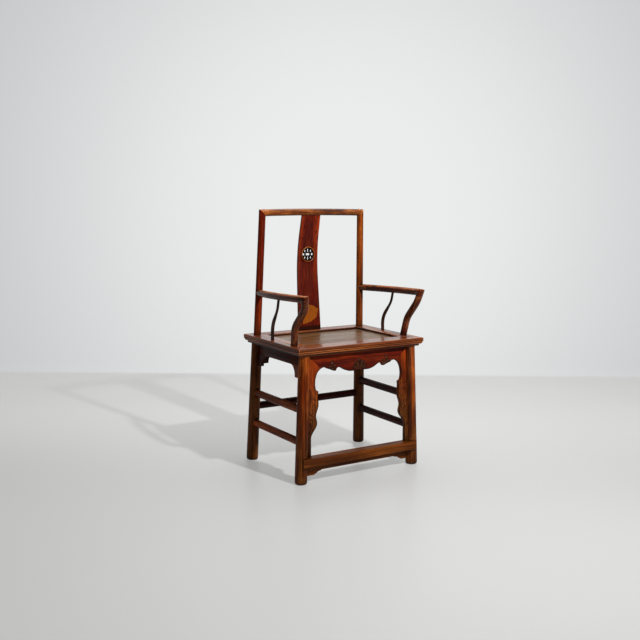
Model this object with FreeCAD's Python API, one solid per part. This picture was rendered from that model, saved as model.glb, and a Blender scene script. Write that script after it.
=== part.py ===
import FreeCAD, Part
import math
import os

Vector = FreeCAD.Vector

# An armchair of the official's hat kind, in millimetres.
# X runs across the chair, Y from front to back, Z up. Left and right are as seen from the front.
# The pieces are drawn about the middle of the seat, and the whole chair is then moved so that its
# origin is the middle, at floor level, of the box that the chair stands in.

# Seat
seat_width = 571.0
seat_depth = 428.5
seat_height = 512.0
chair_height = 1008.0

# Seat frame: four mitred rails with a moulded edge
frame_thickness = 32.5
rail_width = 70.0
edge_round = 4.0
edge_band = 10.0
edge_quirk = 1.5
edge_bead = 5.0
edge_cove = 7.5
edge_foot_inset = 12.0
corner_tenon_thickness = 10.0
corner_tenon_width = 34.0
corner_tenon_inset = 20.0
corner_tenon_cover = 14.0

# Seat panel and the battens under it
panel_drop = 7.5
panel_thickness = 10.0
panel_tongue = 8.0
panel_gap = 0.6
batten_width = 30.0
batten_spacing = 190.0
batten_key = 3.0
batten_key_slope = 2.5
batten_tenon_thickness = 8.0
batten_tenon_length = 14.0

# Legs, each set in from the seat's edges and splayed down to the floor
front_inset_side = 43.8
front_inset_front = 35.3
front_splay_side = 17.0
front_splay_front = 9.5
back_inset_side = 39.3
back_inset_rear = 42.0
back_splay_side = 15.3
back_splay_rear = 16.3
foot_radius = 23.5
leg_radius = 21.0
foot_round = 7.0
leg_tenon_side = 16.0
leg_tenon_length = 20.0

# Back posts, which are the upper part of the back legs' timbers, and the top rail
post_radius = 14.8
top_radius = 13.6
top_rail_bow = 13.0
top_rail_camber = 2.5
mitre_tenon_radius = 6.0
mitre_tenon_length = 16.0

# Splat
splat_top_width = 84.0
splat_foot_width = 106.0
splat_thickness = 10.0
splat_foot_setback = 37.5
splat_housing = 8.0
splat_hollow = 26.7
medallion_radius = 31.5
medallion_ground_radius = 27.5
medallion_web = 4.5
medallion_bead = 1.2
medallion_slot_width = 18.8
medallion_slot_height = 9.8
medallion_side_width = 10.8
medallion_side_height = 9.8
medallion_side_offset = 20.0
medallion_spoke_width = 7.4
medallion_spoke_height = 14.5
medallion_spoke_offset = 16.2
medallion_petal_width = 8.6
medallion_petal_height = 13.0
medallion_petal_across = 13.6
medallion_petal_up = 13.6

# Arms
arm_radius = 13.4
arm_back_height = 678.0
arm_front_height = 691.5
arm_corner_overreach = 1.6
arm_corner_inset = 22.5
arm_bow = 15.5
arm_knuckle_drop = 18.0
arm_knuckle_round = 7.0
goose_neck = 22.0
goose_bend = 70.0
arm_knuckle_side_share = 0.20
arm_knuckle_front_share = 0.25
arm_tenon_radius = 7.0
arm_tenon_length = 11.0
goose_setback = 88.5
goose_inset = 32.7
goose_tenon_radius = 8.0
goose_tenon_length = 16.0
mid_post_radius = 6.8
mid_post_top_radius = 5.0
mid_post_setback = 236.5
mid_post_inset = 24.9
mid_post_travel = 57.0
mid_post_flare = 6.0
mid_post_dowel = 12.0
mid_post_bend = 85.0

# Aprons and their bracket heads
apron_thickness = 12.0
apron_housing = 5.0
side_apron_height = 42.0
bracket_reach = 61.0
bracket_foot = 31.0
bracket_drop = 45.0

# Cusped front apron with its long side aprons, each this wide from its leg's centre line to the
# opening, just over the foot rest
kunmen_side_width = 38.0
mitre_drop = 88.0

# Foot rest in front, with the strip under it
foot_rest_top = 98.0
foot_rest_height = 34.0
foot_rest_depth = 41.0
foot_rest_front = 3.6
foot_rest_half_width = 263.5
foot_rest_round = 5.0
foot_strip_thickness = 10.0
foot_strip_height = 21.0
foot_bracket_reach = 61.0
foot_bracket_nose = 36.0
foot_bracket_shelf = 8.0
foot_bracket_step = 3.5
foot_bracket_drop = 16.0

# Stretchers
stretcher_height = 30.0
stretcher_width = 25.0
stretcher_round_share = 0.8
upper_stretcher_height = 277.0
lower_stretcher_height = 155.0
rear_stretcher_height = 221.0
stretcher_tenon_width = 9.0
stretcher_tenon_height = 20.0
tenon_length = 14.0

# Bowed bars are straight for this much at each end, where they are mitred
straight_end = 30.0

# Cutting tools run past what they cut by this much
overrun = 20.0

# Curve of the cusped apron's edge from the foot rest up to the middle.
# Across in shares of kunmen_half_width, up in shares of the height from foot rest to seat frame.
bulge_shares = [(1.0, 0.174), (0.950, 0.247), (0.876, 0.328), (0.898, 0.396), (0.856, 0.480),
                (0.856, 0.590), (0.844, 0.639)]
arch_shares = [(0.895, 0.655), (0.915, 0.725), (0.890, 0.800), (0.830, 0.850), (0.745, 0.872),
               (0.690, 0.868)]
leaf_tip_shares = [(0.677, 0.857), (0.648, 0.852), (0.610, 0.848), (0.598, 0.858), (0.578, 0.846),
                   (0.556, 0.831), (0.512, 0.824), (0.488, 0.832), (0.482, 0.845)]
lobe_shares = [(0.453, 0.858), (0.338, 0.833), (0.216, 0.808), (0.0, 0.808)]
# Slopes at the cusps: how far each curve leans across for its rise, or dips for its run.
bulge_lean_share = 0.5
arch_lean_share = 0.4
arch_dip_share = 0.1

# Where the gooseneck post bends for the first time, and the mid post's corners: height, forward
# travel and outward travel, in shares of the run from foot to head.
goose_shares = [(0.0, 0.0, 0.0), (0.44, 0.175, 0.85)]
mid_post_shares = [(0.0, 0.0, 0.0), (0.352, -0.06, -0.05), (0.727, 0.822, 0.92), (1.0, 1.02, 1.0)]

# Where the splat bends, seen from the side, how wide that bend's radius is, and where its medallion is:
# shares of its length.
splat_bend_share = 0.652
splat_bend_radius_share = 1.32
medallion_height_share = 0.656

# Levels and places that follow from the sizes above
frame_underside = seat_height - frame_thickness
foot_rest_underside = foot_rest_top - foot_rest_height
foot_rest_middle = foot_rest_top - foot_rest_height / 2
half_width = seat_width / 2
half_depth = seat_depth / 2
top_rail_height = chair_height - top_radius - top_rail_camber
splat_low = seat_height - splat_housing
splat_high = top_rail_height + top_rail_camber - top_radius + splat_housing
splat_length = splat_high - splat_low
splat_bend = splat_bend_radius_share * splat_length
medallion_height = splat_low + medallion_height_share * splat_length
tall = chair_height + overrun
wide = seat_width + overrun
vast = 4 * tall


class Line:
    """The straight centre line of a timber, met at any height."""

    def __init__(self, low, high):
        self.low = low
        self.run = high - low

    def at(self, height):
        return self.low + self.run * ((height - self.low.z) / self.run.z)

    def direction(self):
        return unit(self.run)


def unit(vector):
    result = Vector(vector)
    result.normalize()
    return result


def mirrored(shape):
    """The same piece on the other side of the chair."""
    return shape.mirror(Vector(0, 0, 0), Vector(1, 0, 0))


def mirrored_point(point):
    return Vector(-point.x, point.y, point.z)


def block(low, high):
    size = high - low
    return Part.makeBox(size.x, size.y, size.z, low)


def rod(start, end, radius, end_radius=None):
    """A round bar between two points, tapered if it has an end radius."""
    run = end - start
    if end_radius is None or end_radius == radius:
        return Part.makeCylinder(radius, run.Length, start, run)
    return Part.makeCone(radius, end_radius, run.Length, start, run)


def below(height):
    """All the space under a level."""
    return block(Vector(-wide, -wide, -overrun), Vector(wide, wide, height))


def above(height):
    """All the space over a level."""
    return block(Vector(-wide, -wide, height), Vector(wide, wide, tall))


def half_space(point, normal):
    """A large block that fills the side of a plane that its normal points to."""
    slab = Part.makeBox(vast, vast, vast, Vector(-vast / 2, -vast / 2, 0))
    slab.Placement = FreeCAD.Placement(point, FreeCAD.Rotation(Vector(0, 0, 1), normal))
    return slab


def spline(points, start=None, end=None):
    """A smooth curve through points, with set directions at its ends where given."""
    curve = Part.BSplineCurve()
    if start and end:
        curve.interpolate(Points=points, InitialTangent=start, FinalTangent=end)
    else:
        curve.interpolate(Points=points)
    return curve


def chain(points):
    """Straight edges from point to point."""
    return [Part.LineSegment(a, b).toShape() for a, b in zip(points, points[1:])]


def corner_bend(before, corner, after, bend):
    """Where a corner's rounding starts and ends, with the circle that it follows."""
    back = unit(before - corner)
    onward = unit(after - corner)
    half_turn = (math.pi - back.getAngle(onward)) / 2
    run = bend * math.tan(half_turn)
    inward = unit(back + onward)
    middle = corner + inward * (bend / math.cos(half_turn) - bend)
    first = corner + back * run
    last = corner + onward * run
    return first, middle, last, math.degrees(2 * half_turn)


def bent_bar(points, radii, bend):
    """A round bar along straight runs with rounded corners: its taper lies in the straight runs."""
    place = points[0]
    size = radii[0]
    pieces = []
    for before, corner, after, radius in zip(points, points[1:], points[2:], radii[1:]):
        first, middle, last, turn = corner_bend(before, corner, after, bend)
        pieces.append(rod(place, first, size, radius))
        circle = Part.Circle(first, middle, last)
        section = Part.Face(Part.Wire([Part.Circle(first, corner - before, radius).toShape()]))
        pieces.append(section.revolve(circle.Center, circle.Axis, turn))
        place, size = last, radius
    pieces.append(rod(place, points[-1], size, radii[-1]))
    return pieces[0].fuse(pieces[1:])


def bowed_bar(start, end, bow, radius):
    """A round bar bowed between two points, straight near both ends and run on past them.

    Returned with its direction of travel at the start and at the end.
    """
    along = unit(end - start)
    outward = unit(bow)
    turn = 2 * math.atan2(bow.Length, (end - start).Length / 2 + straight_end)
    from_start = along * math.cos(turn) + outward * math.sin(turn)
    to_end = along * math.cos(turn) - outward * math.sin(turn)
    first = start + from_start * straight_end
    last = end - to_end * straight_end
    circle = Part.Circle(first, (start + end) * 0.5 + bow, last)
    section = Part.Face(Part.Wire([Part.Circle(first, from_start, radius).toShape()]))
    bend = section.revolve(circle.Center, circle.Axis, math.degrees(2 * turn))
    bar = bend.fuse(rod(start - from_start * overrun, first, radius))
    bar = bar.fuse(rod(last, end + to_end * overrun, radius))
    return bar, from_start, to_end


# Centre lines of the timbers on the right side; the left side mirrors them.

front_seat_point = Vector(half_width - front_inset_side, -half_depth + front_inset_front, seat_height)
front_foot_point = front_seat_point + Vector(front_splay_side, -front_splay_front, -seat_height)
front_line = Line(front_foot_point, front_seat_point)

back_seat_point = Vector(half_width - back_inset_side, half_depth - back_inset_rear, seat_height)
back_foot_point = back_seat_point + Vector(back_splay_side, back_splay_rear, -seat_height)
back_line = Line(back_foot_point, back_seat_point)

front_left_line = Line(mirrored_point(front_line.low), mirrored_point(front_seat_point))
back_left_line = Line(mirrored_point(back_line.low), mirrored_point(back_seat_point))

corner_point = back_line.at(top_rail_height)
kunmen_half_width = front_line.at(foot_rest_top).x - kunmen_side_width
arm_corner = Vector(half_width - arm_corner_inset, -half_depth - arm_corner_overreach, arm_front_height)


def leg_blank(line):
    """A leg's taper with its softened foot, turned about its own line and run past the seat frame."""
    growth = (foot_radius - leg_radius) / frame_underside * overrun
    upright = line.direction()
    outward = unit(Vector(line.run.z, 0, -line.run.x))
    low = line.at(0)
    high = line.at(frame_underside + overrun)
    soft = foot_radius - foot_round
    bulge = foot_round * math.sqrt(0.5)
    below_floor = low - upright * overrun
    edges = chain([below_floor, below_floor + outward * soft, low + outward * soft,
                   low + outward * (soft + bulge) + upright * (foot_round - bulge),
                   low + outward * foot_radius + upright * foot_round,
                   high + outward * (leg_radius - growth), high, below_floor])
    blank = Part.Face(Part.Wire(edges)).revolve(low, upright, 360)
    return blank.common(above(0))


def front_leg():
    """A round leg with a square tenon that enters the seat frame's corner."""
    leg = leg_blank(front_line).common(below(frame_underside))
    middle = front_line.at(frame_underside)
    half = leg_tenon_side / 2
    tenon = block(middle - Vector(half, half, half), middle + Vector(half, half, leg_tenon_length))
    return leg.fuse(tenon).removeSplitter()


def mitre_normal(away_from_joint, other_away):
    """Normal of the plane that halves the corner of two bars, pointing to the first bar."""
    return unit(away_from_joint - other_away)


def top_rail_bar():
    """The top rail's bowed bar, run past both corners, with its direction at the right corner."""
    bow = Vector(0, top_rail_bow, top_rail_camber)
    bar, _, at_right = bowed_bar(mirrored_point(corner_point), corner_point, bow, top_radius)
    return bar, at_right * -1


def post_mitre():
    """The right upper corner's mitre: its plane's normal, pointing to the post, and its tenon."""
    _, along_rail = top_rail_bar()
    normal = mitre_normal(back_line.direction() * -1, along_rail)
    reach = normal * mitre_tenon_length
    return normal, rod(corner_point - reach, corner_point + reach, mitre_tenon_radius)


def back_leg():
    """Leg and back post from one timber: a shoulder carries the seat frame, a mitre meets the top rail."""
    thick = leg_blank(back_line).common(below(frame_underside))
    growth = (post_radius - top_radius) / (top_rail_height - frame_underside) * overrun
    low = back_line.at(frame_underside - overrun)
    high = back_line.at(top_rail_height + overrun)
    post = rod(low, high, post_radius + growth, top_radius - growth)
    normal, tenon = post_mitre()
    post = post.common(half_space(corner_point, normal))
    return thick.fuse(post).fuse(tenon).removeSplitter()


def top_rail(board):
    """A slightly bowed round rail, mitred to both posts."""
    bar, _ = top_rail_bar()
    normal, tenon = post_mitre()
    inside = half_space(corner_point, normal * -1)
    bar = bar.common(inside).common(mirrored(inside))
    return bar.cut(tenon).cut(mirrored(tenon)).cut(board)


def rail_section():
    """The seat rail's section: outer edge at y = 0, inner edge at y = rail_width, top at seat_height."""
    top = seat_height
    under = frame_underside
    quirk = top - edge_band
    bead = quirk - edge_quirk
    cove = bead - edge_bead - edge_quirk
    foot = cove - edge_cove
    shelf = edge_foot_inset - edge_quirk
    groove_top = top - panel_drop
    groove_low = groove_top - panel_thickness
    groove_end = rail_width - panel_tongue - panel_gap

    def at(y, z):
        return Vector(0, y, z)

    slack = edge_round * (1 - math.sqrt(0.5))
    drop = edge_cove * (1 - math.sqrt(0.5))
    edges = [Part.Arc(at(edge_round, top), at(slack, top - slack), at(0, top - edge_round)).toShape()]
    edges += chain([at(0, top - edge_round), at(0, quirk), at(edge_quirk, quirk), at(edge_quirk, bead)])
    edges.append(Part.Arc(at(edge_quirk, bead), at(0, bead - edge_bead / 2),
                          at(edge_quirk, bead - edge_bead)).toShape())
    edges += chain([at(edge_quirk, bead - edge_bead), at(2 * edge_quirk, bead - edge_bead),
                    at(2 * edge_quirk, cove)])
    edges.append(Part.Arc(at(2 * edge_quirk, cove), at(2 * edge_quirk + drop, foot + drop),
                          at(shelf, foot)).toShape())
    edges += chain([at(shelf, foot), at(edge_foot_inset, foot), at(edge_foot_inset, under),
                    at(rail_width, under), at(rail_width, groove_low), at(groove_end, groove_low),
                    at(groove_end, groove_top), at(rail_width, groove_top),
                    at(rail_width, top - edge_quirk), at(rail_width - edge_quirk, top),
                    at(edge_round, top)])
    return Part.Face(Part.Wire(edges))


def plain_rail(length):
    """A rail mitred at both ends, its outer edge on the X axis and its width towards +Y."""
    bar = rail_section().extrude(Vector(length, 0, 0))
    bar.translate(Vector(-length / 2, 0, 0))
    outer = length / 2
    inner = outer - rail_width
    plan = Part.makePolygon([Vector(-outer, 0, 0), Vector(outer, 0, 0), Vector(inner, rail_width, 0),
                             Vector(-inner, rail_width, 0), Vector(-outer, 0, 0)])
    return bar.common(Part.Face(plan).extrude(Vector(0, 0, tall)))


def long_rail():
    """A front or back rail, whose ends carry the corner tenons."""
    rail = plain_rail(seat_width)
    far = half_width - corner_tenon_cover
    near = half_width - corner_tenon_inset - corner_tenon_width
    middle = seat_height - frame_thickness / 2
    low = Vector(near, corner_tenon_inset, middle - corner_tenon_thickness / 2)
    high = Vector(far, corner_tenon_inset + corner_tenon_width, middle + corner_tenon_thickness / 2)
    tenon = block(low, high)
    return rail.fuse(tenon).fuse(mirrored(tenon)).removeSplitter()


def placed(shape, turn, x, y):
    """Turned about the upright axis, then moved over the floor plan."""
    result = shape.copy()
    result.Placement = FreeCAD.Placement(Vector(x, y, 0), FreeCAD.Rotation(Vector(0, 0, 1), turn))
    return result


def seat_rails(cutters):
    """The four rails of the seat frame, cut for what passes through them or is tenoned into them."""
    front = placed(long_rail(), 0, 0, -half_depth)
    back = placed(long_rail(), 180, 0, half_depth)
    right = placed(plain_rail(seat_depth), 90, half_width, 0)
    right = right.cut(front).cut(back)
    left = mirrored(right)
    rails = {"seat_front_rail": front, "seat_back_rail": back,
             "seat_right_rail": right, "seat_left_rail": left}
    for name, rail in rails.items():
        for cutter in cutters:
            if rail.BoundBox.intersect(cutter.BoundBox):
                rail = rail.cut(cutter)
        rails[name] = rail
    return rails


def seat_panel(battens):
    """The sunken panel, which floats in the rails' grooves."""
    reach_x = half_width - rail_width + panel_tongue
    reach_y = half_depth - rail_width + panel_tongue
    top = seat_height - panel_drop
    panel = block(Vector(-reach_x, -reach_y, top - panel_thickness), Vector(reach_x, reach_y, top))
    for batten in battens:
        panel = panel.cut(batten)
    return panel


def seat_batten(x):
    """A batten under the panel, keyed into it by a dovetail and tenoned into both long rails."""
    under_panel = seat_height - panel_drop - panel_thickness
    inner = half_depth - rail_width
    half = batten_width / 2
    body = block(Vector(x - half, -inner, frame_underside),
                 Vector(x + half, inner, under_panel))
    neck = half - batten_key_slope - batten_key
    wide_key = half - batten_key_slope
    key = Part.makePolygon([Vector(x - neck, 0, under_panel), Vector(x + neck, 0, under_panel),
                            Vector(x + wide_key, 0, under_panel + batten_key),
                            Vector(x - wide_key, 0, under_panel + batten_key),
                            Vector(x - neck, 0, under_panel)])
    key = Part.Face(key).extrude(Vector(0, 2 * inner, 0))
    key.translate(Vector(0, -inner, 0))
    middle = (frame_underside + under_panel) / 2
    reach = inner + batten_tenon_length
    tenon = block(Vector(x - neck, -reach, middle - batten_tenon_thickness / 2),
                  Vector(x + neck, reach, middle + batten_tenon_thickness / 2))
    return body.fuse(key).fuse(tenon).removeSplitter()


def splat_corners(shift):
    """The splat's middle line seen from the side as three points, moved forwards by a shift."""
    foot_y = half_depth - splat_foot_setback
    foot = Vector(0, foot_y, splat_low)
    corner = Vector(0, foot_y + splat_hollow, splat_low + splat_bend_share * splat_length)
    head = Vector(0, corner_point.y + top_rail_bow, splat_high)
    first_side = unit(corner - foot).cross(Vector(1, 0, 0)) * -1
    last_side = unit(head - corner).cross(Vector(1, 0, 0)) * -1
    bisector = unit(first_side + last_side)
    mitred = bisector * (shift / bisector.dot(first_side))
    return foot + first_side * shift, corner + mitred, head + last_side * shift


def splat_side(shift):
    """Edges of one face of the splat seen from the side, from foot to head."""
    foot, corner, head = splat_corners(shift)
    first, middle, last, _ = corner_bend(foot, corner, head, splat_bend + shift)
    return chain([foot, first]) + [Part.Arc(first, middle, last).toShape()] + chain([last, head])


def splat():
    """The bent splat, narrower at its top, with the openwork medallion."""
    half = splat_thickness / 2
    front_foot, _, front_head = splat_corners(-half)
    rear_foot, _, rear_head = splat_corners(half)
    edges = splat_side(-half) + chain([front_head, rear_head]) + splat_side(half)
    edges += chain([rear_foot, front_foot])
    solid = Part.Face(Part.Wire(Part.__sortEdges__(edges))).extrude(Vector(splat_foot_width, 0, 0))
    solid.translate(Vector(-splat_foot_width / 2, 0, 0))
    foot_reach = splat_foot_width / 2
    top_reach = splat_top_width / 2
    low = seat_height - overrun
    front_view = Part.makePolygon([Vector(-foot_reach, 0, low), Vector(foot_reach, 0, low),
                                   Vector(top_reach, 0, chair_height), Vector(-top_reach, 0, chair_height),
                                   Vector(-foot_reach, 0, low)])
    solid = solid.common(Part.Face(front_view).extrude(Vector(0, tall, 0)))
    foot, corner, head = splat_corners(0)
    _, apex, _, _ = corner_bend(foot, corner, head, splat_bend)
    middle = Vector(0, apex.y, medallion_height)
    bead = rod(middle - Vector(0, half + medallion_bead, 0), middle, medallion_radius)
    solid = solid.fuse(bead)
    for side in (-1, 1):
        ground = middle + Vector(0, side * medallion_web / 2, 0)
        solid = solid.cut(rod(ground, ground + Vector(0, side * overrun, 0), medallion_ground_radius))
    for hole in medallion_holes():
        solid = solid.cut(hole)
    return solid.removeSplitter()


def window(x, height, width, tall_size, pointed):
    """A through hole seen from the front, a rectangle or a pointed oval."""
    half = width / 2
    rise = tall_size / 2
    z = medallion_height + height
    if pointed:
        top, foot = Vector(x, 0, z + rise), Vector(x, 0, z - rise)
        edges = [Part.Arc(foot, Vector(x + half, 0, z), top).toShape(),
                 Part.Arc(top, Vector(x - half, 0, z), foot).toShape()]
        wire = Part.Wire(edges)
    else:
        wire = Part.makePolygon([Vector(x - half, 0, z - rise), Vector(x + half, 0, z - rise),
                                 Vector(x + half, 0, z + rise), Vector(x - half, 0, z + rise),
                                 Vector(x - half, 0, z - rise)])
    return Part.Face(wire).extrude(Vector(0, tall, 0))


def medallion_holes():
    """The openwork: a slot in the middle, four openings on its axes and four petals between them."""
    holes = [window(0, 0, medallion_slot_width, medallion_slot_height, False)]
    for side in (-1, 1):
        holes.append(window(side * medallion_side_offset, 0, medallion_side_width,
                            medallion_side_height, False))
        holes.append(window(0, side * medallion_spoke_offset, medallion_spoke_width,
                            medallion_spoke_height, False))
        for level in (-1, 1):
            holes.append(window(side * medallion_petal_across, level * medallion_petal_up,
                                medallion_petal_width, medallion_petal_height, True))
    return holes


def knuckle_direction():
    """Down the knuckle at the arm's front corner, which leans back and inwards as it goes down."""
    return unit(Vector(-arm_knuckle_side_share, arm_knuckle_front_share, -1))


def arm_rail_blank():
    """The arm rail's bar from inside the back post to its corner, with the knuckle that turns down."""
    start = back_line.at(arm_back_height)
    chord = arm_corner - start
    outward = unit(Vector(-chord.y, chord.x, 0))
    bar, _, at_corner = bowed_bar(start, arm_corner, outward * arm_bow, arm_radius)
    along_rail = at_corner * -1
    down = knuckle_direction()
    bar = bar.common(half_space(arm_corner, mitre_normal(along_rail, down)))
    stub = rod(arm_corner - down * overrun, arm_corner + down * arm_knuckle_drop, arm_radius)
    stub = stub.common(half_space(arm_corner, mitre_normal(down, along_rail)))
    return bar.fuse(stub).cut(knuckle_waste(along_rail, down))


def square_part(direction, side):
    """The part of a direction that is square to another one."""
    return unit(direction - side * direction.dot(side))


def knuckle_waste(along_rail, down):
    """What comes off the knuckle's sharp outer corner to round it, as seen from the side."""
    inward = unit(along_rail + down)
    half_angle = along_rail.getAngle(down) / 2
    across = unit(along_rail.cross(down))
    width = 2 * (arm_radius + overrun)
    centre = arm_corner - inward * ((arm_radius - arm_knuckle_round) / math.sin(half_angle))
    centre = centre - across * (width / 2)
    top_side = square_part(down, along_rail) * -1
    front_side = square_part(along_rail, down) * -1
    top_foot = centre + top_side * arm_knuckle_round
    front_foot = centre + front_side * arm_knuckle_round
    edges = [Part.Arc(top_foot, centre - inward * arm_knuckle_round, front_foot).toShape()]
    edges += chain([front_foot, centre + front_side * overrun, centre - inward * (2 * overrun),
                    centre + top_side * overrun, top_foot])
    return Part.Face(Part.Wire(edges)).extrude(across * width)


def arm_tenon():
    """The round tenon that joins the arm rail to the back post."""
    start = back_line.at(arm_back_height)
    inward = unit(arm_corner - start)
    tip = start + inward * (post_radius - arm_tenon_length)
    return rod(tip, tip + inward * (arm_tenon_length + overrun), arm_tenon_radius)


def arm_rail(post):
    """The right arm rail, scribed to the back post and tenoned into it."""
    rail = arm_rail_blank().cut(post)
    rail = max(rail.Solids, key=lambda solid: solid.Volume)
    return rail.fuse(arm_tenon()).removeSplitter()


def goose_head():
    """Where the knuckle ends and the gooseneck post begins, and the way up from there."""
    upward = knuckle_direction() * -1
    return arm_corner - upward * arm_knuckle_drop, upward


def goose_tenon():
    """The tenon that the knuckle takes."""
    top, upward = goose_head()
    return rod(top, top + upward * goose_tenon_length, goose_tenon_radius)


def goose_post():
    """The gooseneck post under the arm's front end, with a tenon at each end."""
    base = Vector(half_width - goose_inset, -half_depth + goose_setback, seat_height)
    top, upward = goose_head()
    run = top - base
    points = [Vector(base.x + run.x * outward, base.y + run.y * forward, base.z + run.z * height)
              for height, forward, outward in goose_shares]
    points += [top - upward * goose_neck, top]
    points[0] = points[0] * 2 - points[1]
    post = bent_bar(points, [arm_radius] * len(points), goose_bend).common(above(seat_height))
    lower = rod(base - Vector(0, 0, goose_tenon_length), base, goose_tenon_radius)
    return post.fuse(lower).fuse(goose_tenon())


def mid_post():
    """The slim curved post under the middle of the arm, let into the rail above and the seat below."""
    base = Vector(half_width - mid_post_inset, -half_depth + mid_post_setback, seat_height)
    arm_run = back_line.at(arm_back_height).y - arm_corner.y
    along = (base.y - mid_post_travel - arm_corner.y) / arm_run
    rail_level = arm_front_height + (arm_back_height - arm_front_height) * along
    low = seat_height - mid_post_dowel
    rise = rail_level - low
    points = [Vector(base.x + mid_post_flare * outward, base.y - mid_post_travel * forward,
                     low + rise * height) for height, forward, outward in mid_post_shares]
    radii = [mid_post_radius, mid_post_radius, mid_post_top_radius, mid_post_top_radius]
    return bent_bar(points, radii, mid_post_bend)


def board_place(left, right, height):
    """Placement of a board drawn upright on the XZ plane, for the plane of two timbers' centre lines."""
    across = unit(right.at(height) - left.at(height))
    middle = (left.at(height) + right.at(height)) * 0.5
    floor_middle = (left.at(0) + right.at(0)) * 0.5
    through = unit((middle - floor_middle).cross(across))
    upward = across.cross(through)
    origin = middle - upward * (height / upward.z)
    matrix = FreeCAD.Matrix(across.x, through.x, upward.x, origin.x,
                            across.y, through.y, upward.y, origin.y,
                            across.z, through.z, upward.z, origin.z)
    return FreeCAD.Placement(matrix)


def board(edges, thickness, place):
    """A board cut to an outline on the XZ plane, centred on that plane and set in its place."""
    solid = Part.Face(Part.Wire(Part.__sortEdges__(edges))).extrude(Vector(0, thickness, 0))
    solid.translate(Vector(0, -thickness / 2, 0))
    solid.Placement = place.multiply(solid.Placement)
    return solid


def edge_reach(left, right, height):
    """Half the length of a board that is housed in two legs, at a height."""
    radius = foot_radius + (leg_radius - foot_radius) * height / frame_underside
    return (right.at(height) - left.at(height)).Length / 2 - radius + apron_housing


def bracket(reach, level, place, side):
    """A bracket head under an apron's end, hollowed to a quarter of an oval."""
    outer = side * reach
    tip = side * (reach - apron_housing - bracket_reach)
    foot = side * (reach - apron_housing - bracket_foot)
    base = level - bracket_drop
    centre = Vector(tip, 0, base)
    oval = Part.Ellipse(Vector(tip, 0, level), Vector(foot, 0, base), centre)
    hollow = Part.ArcOfEllipse(oval, 0, math.pi / 2).toShape()
    edges = [hollow] + chain([Vector(foot, 0, base), Vector(outer, 0, base), Vector(outer, 0, level),
                              Vector(tip, 0, level)])
    return board(edges, apron_thickness, place)


def plain_apron(left, right):
    """A straight apron under a seat rail, with its two bracket heads."""
    level = frame_underside - side_apron_height
    place = board_place(left, right, level)
    top = frame_underside + overrun
    low_reach = edge_reach(left, right, level)
    top_reach = edge_reach(left, right, top)
    points = [Vector(-low_reach, 0, level), Vector(low_reach, 0, level), Vector(top_reach, 0, top),
              Vector(-top_reach, 0, top), Vector(-low_reach, 0, level)]
    apron = board(chain(points), apron_thickness, place).common(below(frame_underside))
    first = bracket(low_reach, level, place, -1)
    second = bracket(low_reach, level, place, 1)
    return apron, first, second


def kunmen_point(share):
    rise = frame_underside - foot_rest_top
    return Vector(share[0] * kunmen_half_width, 0, foot_rest_top + share[1] * rise)


def kunmen_edges():
    """The right half of the cusped edge, from the foot rest to the chair's middle."""
    bulge = [kunmen_point(share) for share in bulge_shares]
    arch = [kunmen_point(share) for share in arch_shares]
    lobe = [kunmen_point(share) for share in lobe_shares]
    start = Vector(kunmen_half_width, 0, foot_rest_top)
    up = Vector(0, 0, 1)
    edges = chain([start, bulge[0]])
    edges.append(spline(bulge, up, Vector(-bulge_lean_share, 0, 1)).toShape())
    edges += chain([bulge[-1], arch[0]])
    edges.append(spline(arch, Vector(arch_lean_share, 0, 1), Vector(-1, 0, -arch_dip_share)).toShape())
    edges += chain([arch[-1]] + [kunmen_point(share) for share in leaf_tip_shares] + [lobe[0]])
    edges.append(spline(lobe, Vector(-1, 0, 0), Vector(-1, 0, 0)).toShape())
    return edges


def kunmen_frame():
    """Cusped front apron and its two side aprons, which are mitred to it at the upper corners."""
    place = board_place(front_left_line, front_line, (foot_rest_top + frame_underside) / 2)
    top = frame_underside + overrun
    low = foot_rest_top - overrun
    low_reach = edge_reach(front_left_line, front_line, low)
    top_reach = edge_reach(front_left_line, front_line, top)
    half = kunmen_edges()
    half += chain([Vector(kunmen_half_width, 0, foot_rest_top), Vector(kunmen_half_width, 0, low),
                   Vector(low_reach, 0, low), Vector(top_reach, 0, top), Vector(0, 0, top)])
    edges = half + [mirrored(edge) for edge in half]
    whole = board(edges, apron_thickness, place).common(below(frame_underside)).common(above(foot_rest_top))
    corner = edge_reach(front_left_line, front_line, frame_underside)
    ends = mitre_drop
    region = chain([Vector(-corner - overrun, 0, frame_underside + overrun),
                    Vector(corner + overrun, 0, frame_underside + overrun),
                    Vector(corner - ends, 0, frame_underside - ends),
                    Vector(-corner + ends, 0, frame_underside - ends),
                    Vector(-corner - overrun, 0, frame_underside + overrun)])
    region = board(region, apron_thickness + overrun, place)
    apron = whole.common(region)
    sides = sorted(whole.cut(region).Solids, key=lambda solid: solid.CenterOfMass.x)
    return apron, sides[0], sides[-1]


def foot_rest(legs):
    """The low front rail that the feet rest on: it laps the legs' fronts and is tenoned into them."""
    front = -half_depth - foot_rest_front
    board_block = block(Vector(-foot_rest_half_width, front, foot_rest_underside),
                        Vector(foot_rest_half_width, front + foot_rest_depth, foot_rest_top))
    arrises = [edge for edge in board_block.Edges if edge.BoundBox.YMax < front + foot_rest_round]
    rest = board_block.makeFillet(foot_rest_round, arrises)
    for leg in legs:
        rest = rest.cut(leg)
    rest = max(rest.Solids, key=lambda solid: solid.Volume)
    tenons = bar_tenons(front_left_line, front_line, foot_rest_middle, foot_radius)
    return rest.fuse(tenons).removeSplitter()


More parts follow.
